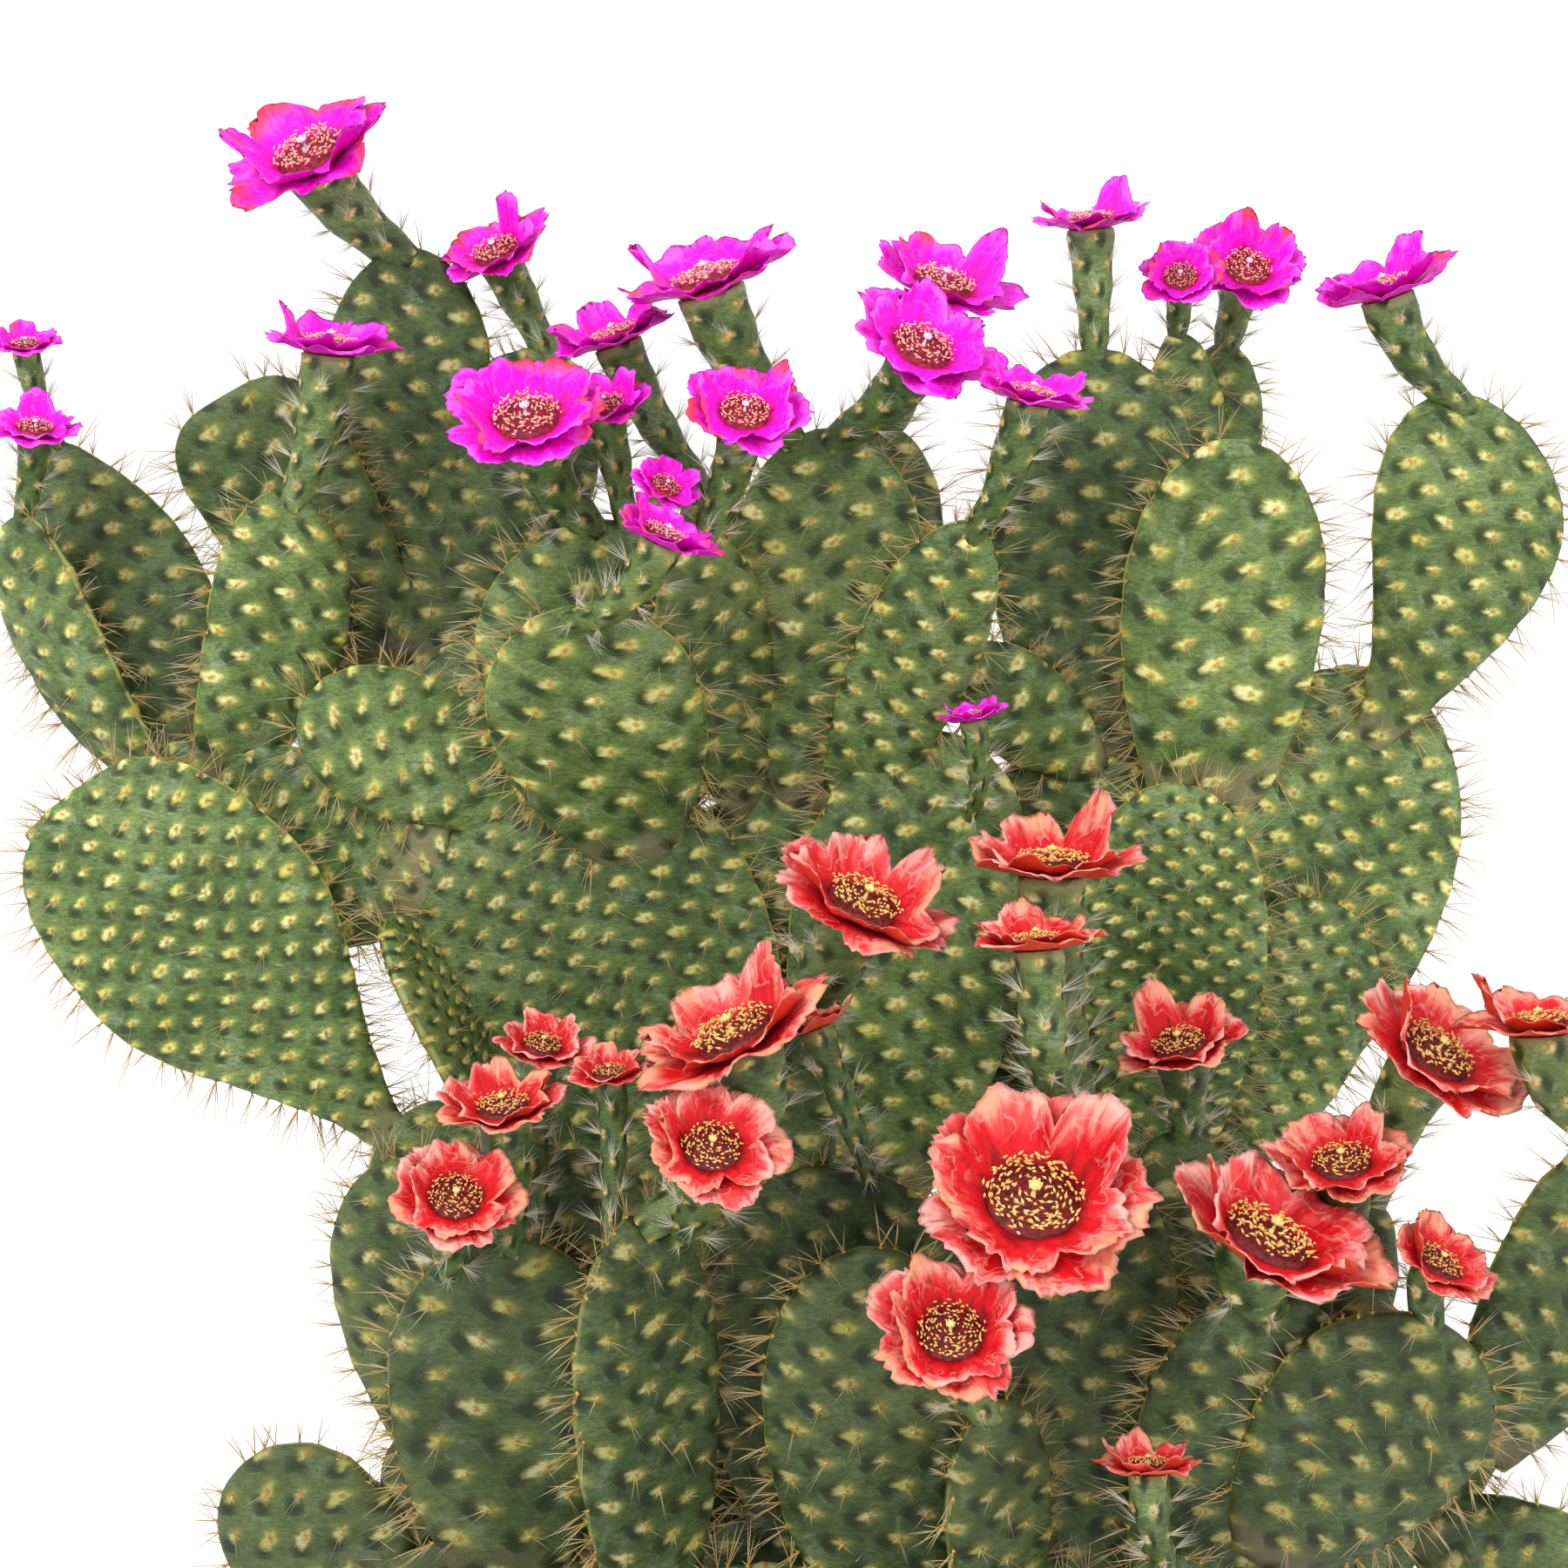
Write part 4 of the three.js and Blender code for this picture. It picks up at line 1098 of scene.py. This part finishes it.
def petal_finish(name, throat, body, streak, edge, patch, back, patchy):
    """Satin petals: a deep throat, streaks that run outwards, paler edges and a darker back.

    patchy says how few of the lobes carry a patch of another colour, from 0 (all) to 1 (none).
    """
    finish = Finish(name, 0.45, 0.22)
    round_x, round_y, number = finish.split(finish.mark("grid"))
    behind, out, chance = finish.split(finish.mark("tone"))
    own = finish.times(number, 3.7)
    veins = finish.noise(finish.join(round_x, round_y, finish.plus(own, out)), 1.7, 6, 0.7, 0.6)
    half_x = finish.times(round_x, 0.5)
    half_y = finish.times(round_y, 0.5)
    drift = finish.plus(own, finish.times(out, 1.2))
    broad = finish.noise(finish.join(half_x, half_y, drift), 1.1, 3, 0.5, 0.8)
    ripple = finish.noise(finish.join(half_x, half_y, finish.plus(own, finish.times(out, 2.6))),
                          1.0, 2, 0.5, 0.5)
    reach = finish.plus(out, finish.times(finish.minus(broad, 0.5), 1.5))
    reach = finish.plus(reach, finish.times(finish.minus(veins, 0.5), 0.35))
    colour = finish.ramp(reach, (0.0, throat), (0.25, body), (0.5, body), (0.76, streak), (1.02, edge))
    # Thin pale lines follow the ripples of the petals
    line = finish.soft(finish.math("ABSOLUTE", finish.minus(ripple, 0.5)), 0.03, 0.0)
    line = finish.times(line, finish.soft(out, 0.3, 0.6))
    colour = finish.stain(line, 0.45, colour, edge)
    hem = finish.soft(finish.plus(out, finish.times(veins, 0.12)), 0.97, 1.05)
    colour = finish.stain(hem, 0.6, colour, edge)
    lip = finish.times(finish.soft(out, 0.55, 0.95), finish.soft(broad, 0.4, 0.56))
    lip = finish.times(lip, finish.soft(chance, patchy, patchy + 0.15))
    colour = finish.mix(lip, colour, patch)
    # Painted shade: the petals are darkened towards the throat colour where the vein pattern dips, in the
    # creases of their bump
    shade = finish.times(finish.soft(veins, 0.5, 0.36), 0.5)
    colour = finish.mix(shade, colour, throat)
    deep = finish.soft(out, 0.34, 0.02)
    colour = finish.stain(deep, 0.8, colour, throat)
    colour = finish.mix(finish.soft(behind, 0.45, 0.75), colour, finish.mix(veins, back, body))
    finish.colour(colour)
    finish.bump(finish.plus(veins, finish.times(ripple, 1.4)), 0.6, 0.0014)
    return finish.material


def bead_finish(name, low, high):
    finish = Finish(name, 0.5)
    _, chance, _ = finish.split(finish.mark("tone"))
    speck = finish.noise(finish.place(), 700, 2)
    share = finish.plus(finish.times(chance, 0.7), finish.times(speck, 0.3))
    return finish.colour(finish.mix(share, low, high)).material


def dome_finish(name, middle, rim):
    """The dark ground under the stamens, grained by their crowded stalks."""
    finish = Finish(name, 0.6)
    grain = finish.noise(finish.place(), 520, 3, 0.6)
    colour = finish.mix(finish.soft(grain, 0.4, 0.65), middle, rim)
    finish.colour(colour)
    finish.bump(grain, 0.8, 0.001)
    return finish.material


def terracotta_finish():
    finish = Finish("fired_clay", 0.86)
    place = finish.place()
    _, _, height = finish.split(place)
    clouds = finish.noise(place, 9, 5, 0.6)
    colour = finish.ramp(clouds, (0.3, srgb(158, 92, 62)), (0.55, srgb(182, 108, 74)),
                         (0.75, srgb(198, 130, 96)))
    bloom_line = finish.plus(height, finish.times(finish.noise(place, 22, 4), 0.14))
    lime = finish.soft(finish.noise(place, 36, 4), 0.42, 0.6)
    lime = finish.times(finish.soft(bloom_line, 0.14, 0.06), lime)
    colour = finish.stain(lime, 0.55, colour, srgb(214, 190, 168))
    specks = finish.soft(finish.noise(place, 420, 2), 0.66, 0.74)
    colour = finish.stain(specks, 0.6, colour, srgb(104, 58, 40))
    finish.colour(colour)
    rings = finish.noise(finish.stretch(place, (0.4, 0.4, 60.0)), 6, 3, 0.6)
    pits = finish.noise(place, 260, 3, 0.6)
    finish.bump(finish.plus(rings, finish.times(pits, 0.6)), 0.4, 0.0015)
    return finish.material


def soil_finish():
    finish = Finish("dry_earth", 0.95)
    place = finish.place()
    crumbs = finish.noise(place, 160, 5, 0.7)
    colour = finish.ramp(crumbs, (0.3, srgb(38, 28, 22)), (0.52, srgb(78, 60, 46)),
                         (0.72, srgb(124, 100, 78)))
    damp = finish.soft(finish.noise(place, 18, 2), 0.45, 0.62)
    finish.colour(finish.stain(damp, 0.4, colour, srgb(44, 33, 26)))
    finish.bump(crumbs, 0.9, 0.003)
    return finish.material


def grit_finish():
    finish = Finish("grit", 0.85)
    _, chance, _ = finish.split(finish.mark("tone"))
    grain = finish.noise(finish.place(), 600, 3)
    colour = finish.ramp(chance, (0.0, srgb(92, 78, 66)), (0.35, srgb(140, 124, 104)),
                         (0.7, srgb(176, 164, 146)), (1.0, srgb(206, 200, 190)))
    finish.colour(finish.stain(grain, 0.4, colour, srgb(96, 84, 72)))
    finish.bump(grain, 0.5, 0.0008)
    return finish.material


# The plant
def in_front(plan):
    return plan["foot"][1] < 0


def nearness_to_soil(plan):
    """How low in the clump's own shadow a pad lies: 1 near the soil and 0 from mid height up."""
    height = (plan["foot"][2] + plan["tip"][2]) / 2
    return min(1, max(0, (SHADE_ENDS - height) / (SHADE_ENDS - SHADE_FULL)))


def near_bloom(spot, blooms):
    """Whether a spine that ends here would stand in a bloom."""
    return any((spot - middle).length < reach for middle, reach in blooms)


def add_areole(piece, form, share, turn, dice, on_rim, blooms):
    """An areole's cushion, short bristles and spines, which have the finishes 1, 2 and 0."""
    normal = form.normal(share, turn)
    spot = form.skin(share, turn) + normal * ROOT_LIFT
    add_cushion(piece, spot, normal, dice.uniform(0.6, 1.0), dice.uniform(0.4, 0.7), dice.random(), 1)
    beside = form.along * dice.uniform(-1, 1) if on_rim else form.across * 0.6 - form.along * 0.6
    for _ in range(GLOCHID_COUNT):
        lean = beside * dice.uniform(0.1, 1.3) + form.along * dice.uniform(-0.9, 0.9)
        lean += form.across * dice.uniform(-0.6, 0.6)
        direction = (normal * 0.5 + lean).normalized()
        add_needle(piece, spot, direction, dice.uniform(*GLOCHIDS), GLOCHID_RADIUS, dice.random(), 2)
    # Spines are longest and most crowded near the neck
    near_neck = max(0, 1 - share / 0.4)
    scale = min(1.05, 0.6 + form.plan["width"] / 200)
    count = dice.choice((3, 4, 5, 6) if on_rim else (0, 1, 2, 2, 3, 3)) + round(2 * near_neck)
    shortest, longest = RIM_SPINES if on_rim else FACE_SPINES
    longest += NECK_SPINES_LONGER * near_neck
    bias = form.along * dice.uniform(-0.9, 0.5) + form.across * dice.uniform(-0.8, 0.8)
    wide = 0.45 if on_rim else 0.28
    for _ in range(count):
        spread = Vector([dice.uniform(-wide, wide) for _ in range(3)])
        direction = normal * (1 if on_rim else 0.7) + bias * (0.5 if on_rim else 1.0) + spread
        direction.normalize()
        length = dice.uniform(shortest, longest) * scale
        if not near_bloom(spot + direction * length, blooms):
            droop = RIM_SPINE_DROOP if on_rim else 0
            add_needle(piece, spot, direction, length, SPINE_RADIUS, dice.random(), 0, droop)


def add_tube_tufts(piece, tube, dice):
    for share, turn in tube.areoles():
        normal = tube.normal(share, turn)
        spot = tube.skin(share, turn) + normal * ROOT_LIFT
        add_cushion(piece, spot, normal, dice.uniform(0.8, 1.3), 0.7, dice.random(), 1)
        bias = Vector([dice.uniform(-0.3, 0.3) for _ in range(3)])
        for _ in range(BRISTLE_COUNT):
            spread = Vector([dice.uniform(-0.34, 0.34) for _ in range(3)])
            direction = (normal * 0.9 + tube.along(share) * 0.6 + bias + spread).normalized()
            length = dice.uniform(*BRISTLES) * min(1, 0.5 + tube.top_radius / 16)
            if share < 0.86 or direction.dot(tube.along(share)) < 0.5:
                add_needle(piece, spot, direction, length, BRISTLE_RADIUS, dice.random(), 3)


def add_stem(plan, first_number, materials):
    dice = random.Random(first_number + 101)
    body, spines = Piece(), Piece()
    blooms = [(planted(each["seat"]) + Vector(each["face"]).normalized() * (each["width"] * 0.15),
               each["width"] * 0.5) for each in plan["blooms"]]
    number = first_number
    for each in plan["pads"]:
        shade = each["shade"]
        if shade is None:
            shade = dice.uniform(*PAD_SHADES) - (FRONT_PAD_SHADE if in_front(each) else 0)
        # Pads low in the clump are darkened further, as painted shade
        shade = max(DARKEST_SHADE, shade - LOW_SHADE * nearness_to_soil(each))
        form = Pad(each, number, shade)
        form.add_skin(body)
        for share, turn in form.face_areoles():
            if dice.random() > MISSING_AREOLES:
                add_areole(spines, form, share, turn, dice, False, blooms)
        for share, turn in form.rim_areoles(dice):
            add_areole(spines, form, share, turn, dice, True, blooms)
        number += 1
    for each in plan["blooms"]:
        shade = dice.uniform(*TUBE_SHADES) - (FRONT_TUBE_SHADE if in_front(each) else 0)
        tube = Tube(each, number, shade)
        tube.add_skin(body, 1)
        add_tube_tufts(spines, tube, dice)
        number += 1
    label = plan["name"].replace("stem_", "")
    made = body.build("pads_" + label, materials["stem"], "cactus_flesh")
    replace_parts(made, plan["name"])
    spines.build("spines_" + label, materials["spines"], "cactus_flesh")
    return number


def add_bloom(plan, colour, edges, number, materials):
    form = Bloom(plan, edges, number)
    piece = Piece()
    form.add_petals(piece)
    form.add_cup(piece, 1)
    form.add_stamens(piece, 1, 2, 3)
    made = piece.build("bloom_" + plan["name"], materials[colour], colour + "_petal")
    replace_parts(made, plan["name"])


# The pot and its soil
def rounded(profile, radius):
    """The profile with each inner corner cut by a short curve."""
    points = [Vector(profile[0])]
    for before, corner, after in zip(profile, profile[1:], profile[2:]):
        before, corner, after = Vector(before), Vector(corner), Vector(after)
        start = corner + (before - corner).normalized() * min(radius, (before - corner).length * 0.4)
        end = corner + (after - corner).normalized() * min(radius, (after - corner).length * 0.4)
        points += [start, start * 0.25 + corner * 0.5 + end * 0.25, end]
    points.append(Vector(profile[-1]))
    return points


def add_turned(piece, profile, sides):
    """A profile that starts and ends on the axis, turned round it, the lower end first."""
    rings = []
    for radius, height in profile[1:-1]:
        rings.append([piece.point(around_axis(turn, radius, height)) for turn in turns(sides, CLOCKWISE)])
    foot, top = (piece.point(around_axis(0, 0, height)) for _, height in (profile[0], profile[-1]))
    piece.closed(rings, foot, top)


def add_pot(material):
    collar_foot = POT_HEIGHT - POT_RIM_HEIGHT
    body_top = POT_RIM_RADIUS - POT_RIM_STEP
    profile = [
        (0, 0),
        (POT_FOOT_RADIUS - POT_FOOT_CHAMFER, 0),
        (POT_FOOT_RADIUS, POT_FOOT_CHAMFER),
        (body_top, collar_foot),
        (POT_RIM_RADIUS, collar_foot),
        (POT_RIM_RADIUS, POT_HEIGHT),
        (POT_RIM_RADIUS - POT_WALL, POT_HEIGHT),
        (body_top - POT_WALL, collar_foot),
        (POT_FOOT_RADIUS - POT_WALL, POT_FLOOR),
        (0, POT_FLOOR),
    ]
    piece = Piece()
    add_turned(piece, rounded(profile, POT_ROUNDING), POT_SIDES)
    pot = piece.build("pot_body", [material], "terracotta")
    cutters = []
    for turn in turns(POT_DRAINS):
        drill = Piece()
        foot, top = -POT_FLOOR, 2 * POT_FLOOR
        hole = [(0, foot), (POT_DRAIN_RADIUS, foot), (POT_DRAIN_RADIUS, top), (0, top)]
        add_turned(drill, hole, DRAIN_SIDES)
        mesh = bpy.data.meshes.new("drill")
        middle = around_axis(turn, POT_DRAIN_CIRCLE, 0)
        mesh.from_pydata([(place + middle) * MM for place in drill.points], [], drill.faces)
        cutter = placed("drill", mesh)
        cutters.append(cutter)
        cut = pot.modifiers.new("drain", "BOOLEAN")
        cut.object = cutter
        cut.operation = "DIFFERENCE"
    shaped = bpy.data.meshes.new_from_object(pot.evaluated_get(bpy.context.evaluated_depsgraph_get()))
    pot.modifiers.clear()
    pot.data = shaped
    for cutter in cutters:
        bpy.data.objects.remove(cutter)
    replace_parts(pot, "pot")


def soil_height(x, y):
    """The uneven top of the soil, never over its solid by more than a crumb."""
    spot = Vector((x, y, 0))
    return SOIL_TOP - SOIL_DIP + 1.3 * noise.noise(spot / 26) + 0.9 * noise.noise(spot / 7)


def add_soil(earth, grit):
    collar_foot = POT_HEIGHT - POT_RIM_HEIGHT
    inner = POT_RIM_RADIUS - POT_RIM_STEP - POT_WALL - SOIL_GAP
    top_radius = inner + POT_RIM_STEP / POT_RIM_HEIGHT * (SOIL_TOP - collar_foot)
    piece = Piece()
    foot = POT_FLOOR + SOIL_GAP
    rings = []
    for radius, height in ((POT_FOOT_RADIUS - POT_WALL - SOIL_GAP, foot), (inner, collar_foot)):
        rings.append([piece.point(around_axis(turn, radius, height))
                      for turn in turns(SOIL_SIDES, CLOCKWISE)])
    for circle in range(SOIL_CIRCLES, 0, -1):
        radius = top_radius * circle / SOIL_CIRCLES
        ring = []
        for turn in turns(SOIL_SIDES, CLOCKWISE):
            x, y, _ = around_axis(turn, radius, 0)
            ring.append(piece.point(Vector((x, y, soil_height(x, y)))))
        rings.append(ring)
    middles = [piece.point(around_axis(0, 0, height)) for height in (foot, soil_height(0, 0))]
    piece.closed(rings, *middles)
    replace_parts(piece.build("soil_bed", [earth], "soil"), "soil")

    dice = random.Random(77)
    stones = Piece()
    for _ in range(CRUMB_COUNT):
        out = math.sqrt(dice.random()) * (top_radius - CRUMB_CLEAR)
        turn = dice.uniform(0, FULL_TURN)
        x, y = out * math.cos(turn), out * math.sin(turn)
        radius = dice.choice(CRUMBS)
        add_stone(stones, Vector((x, y, soil_height(x, y) + radius * 0.2)), radius, dice)
    stones.build("soil_grit", [grit], "soil", smooth=False)


def add_stone(piece, middle, radius, dice):
    shade = dice.random()
    rings = []
    for height, wide in ((-0.55, 0.75), (0.1, 1.0), (0.6, 0.6)):
        rings.append([piece.point(middle + Vector((math.cos(turn) * wide * dice.uniform(0.75, 1.15),
                                                   math.sin(turn) * wide * dice.uniform(0.75, 1.15),
                                                   height * 0.8)) * radius, tone=(0, shade, 0))
                      for turn in turns(STONE_SIDES, CLOCKWISE)])
    up = Vector((0, 0, radius * 0.7))
    foot, top = (piece.point(spot, tone=(0, shade, 0)) for spot in (middle - up, middle + up))
    piece.closed(rings, foot, top)


# The set
def add_camera():
    data = bpy.data.cameras.new("camera")
    data.lens = VIEW_LENS
    data.sensor_width = VIEW_SENSOR
    camera = placed("camera", data)
    camera.location = VIEW_TARGET + Vector((0, -math.cos(VIEW_DOWN), math.sin(VIEW_DOWN))) * VIEW_DISTANCE
    camera.rotation_euler = (math.pi / 2 - VIEW_DOWN, 0, 0)
    bpy.context.scene.camera = camera


def add_soft_box(name, location, size, energy):
    data = bpy.data.lights.new(name, "AREA")
    data.size = size
    data.energy = energy
    light = placed(name, data)
    light.location = location
    light.rotation_euler = (Vector(LIGHT_TARGET) - Vector(location)).to_track_quat("-Z", "Y").to_euler()


def add_floor():
    finish = Finish("pale_floor", 0.9)
    faint = finish.noise(finish.place(), 3, 2)
    finish.colour(finish.mix(faint, srgb(250, 250, 249), srgb(254, 254, 254)))
    corners = [(x * FLOOR_REACH, y * FLOOR_REACH, 0) for x, y in ((-1, -1), (1, -1), (1, 1), (-1, 1))]
    mesh = bpy.data.meshes.new("floor")
    mesh.from_pydata(corners, [], [(0, 1, 2, 3)])
    mesh.materials.append(finish.material)
    placed("floor", mesh)


def add_daylight():
    world = bpy.data.worlds.new("white_studio")
    world.use_nodes = True
    background = world.node_tree.nodes["Background"]
    background.inputs["Color"].default_value = (1, 1, 1, 1)
    background.inputs["Strength"].default_value = DAYLIGHT
    bpy.context.scene.world = world
    add_soft_box("key_light", *KEY_LIGHT)
    add_soft_box("fill_light", *FILL_LIGHT)


bpy.context.scene.view_settings.view_transform = "Standard"
add_camera()
add_daylight()
add_floor()

stem_materials = [cactus_skin("pad_skin"), cactus_skin("tube_skin", tube=True)]
spine_materials = [
    spine_finish("golden_spine", srgb(150, 108, 44), srgb(184, 156, 98), srgb(204, 194, 166)),
    spine_finish("areole_wool", srgb(150, 112, 42), srgb(186, 148, 62), srgb(206, 178, 96)),
    spine_finish("straw_bristle", srgb(190, 158, 72), srgb(214, 188, 106), srgb(230, 212, 156)),
    spine_finish("grey_bristle", srgb(168, 156, 128), srgb(206, 198, 176), srgb(230, 226, 214)),
]
bloom_materials = {
    MAGENTA: [
        petal_finish("magenta_petal", srgb(196, 2, 96), srgb(244, 0, 210), srgb(255, 14, 226),
                     srgb(255, 96, 244), srgb(255, 66, 96), srgb(160, 4, 128), 0.65),
        dome_finish("magenta_dome", srgb(112, 6, 30), srgb(184, 20, 60)),
        bead_finish("salmon_anther", srgb(238, 160, 120), srgb(255, 222, 190)),
        bead_finish("pink_stigma", srgb(246, 196, 236), srgb(255, 238, 250)),
    ],
    RED: [
        petal_finish("red_petal", srgb(140, 8, 16), srgb(216, 20, 32), srgb(234, 84, 84),
                     srgb(248, 178, 164), srgb(242, 160, 122), srgb(200, 84, 50), 0.45),
        dome_finish("red_dome", srgb(84, 6, 10), srgb(140, 18, 20)),
        bead_finish("gold_anther", srgb(232, 178, 84), srgb(255, 226, 140)),
        bead_finish("gold_stigma", srgb(228, 196, 104), srgb(250, 228, 150)),
    ],
}

count = 1
for each_stem in STEMS:
    count = add_stem(each_stem, count, {"stem": stem_materials, "spines": spine_materials})
petal_dice = PetalDice(PETAL_RANDOM_SEED)
for each_stem in STEMS:
    for each_bloom in each_stem["blooms"]:
        add_bloom(each_bloom, each_stem["colour"], petal_edges(petal_dice), count, bloom_materials)
        count += 1
add_pot(terracotta_finish())
add_soil(soil_finish(), grit_finish())
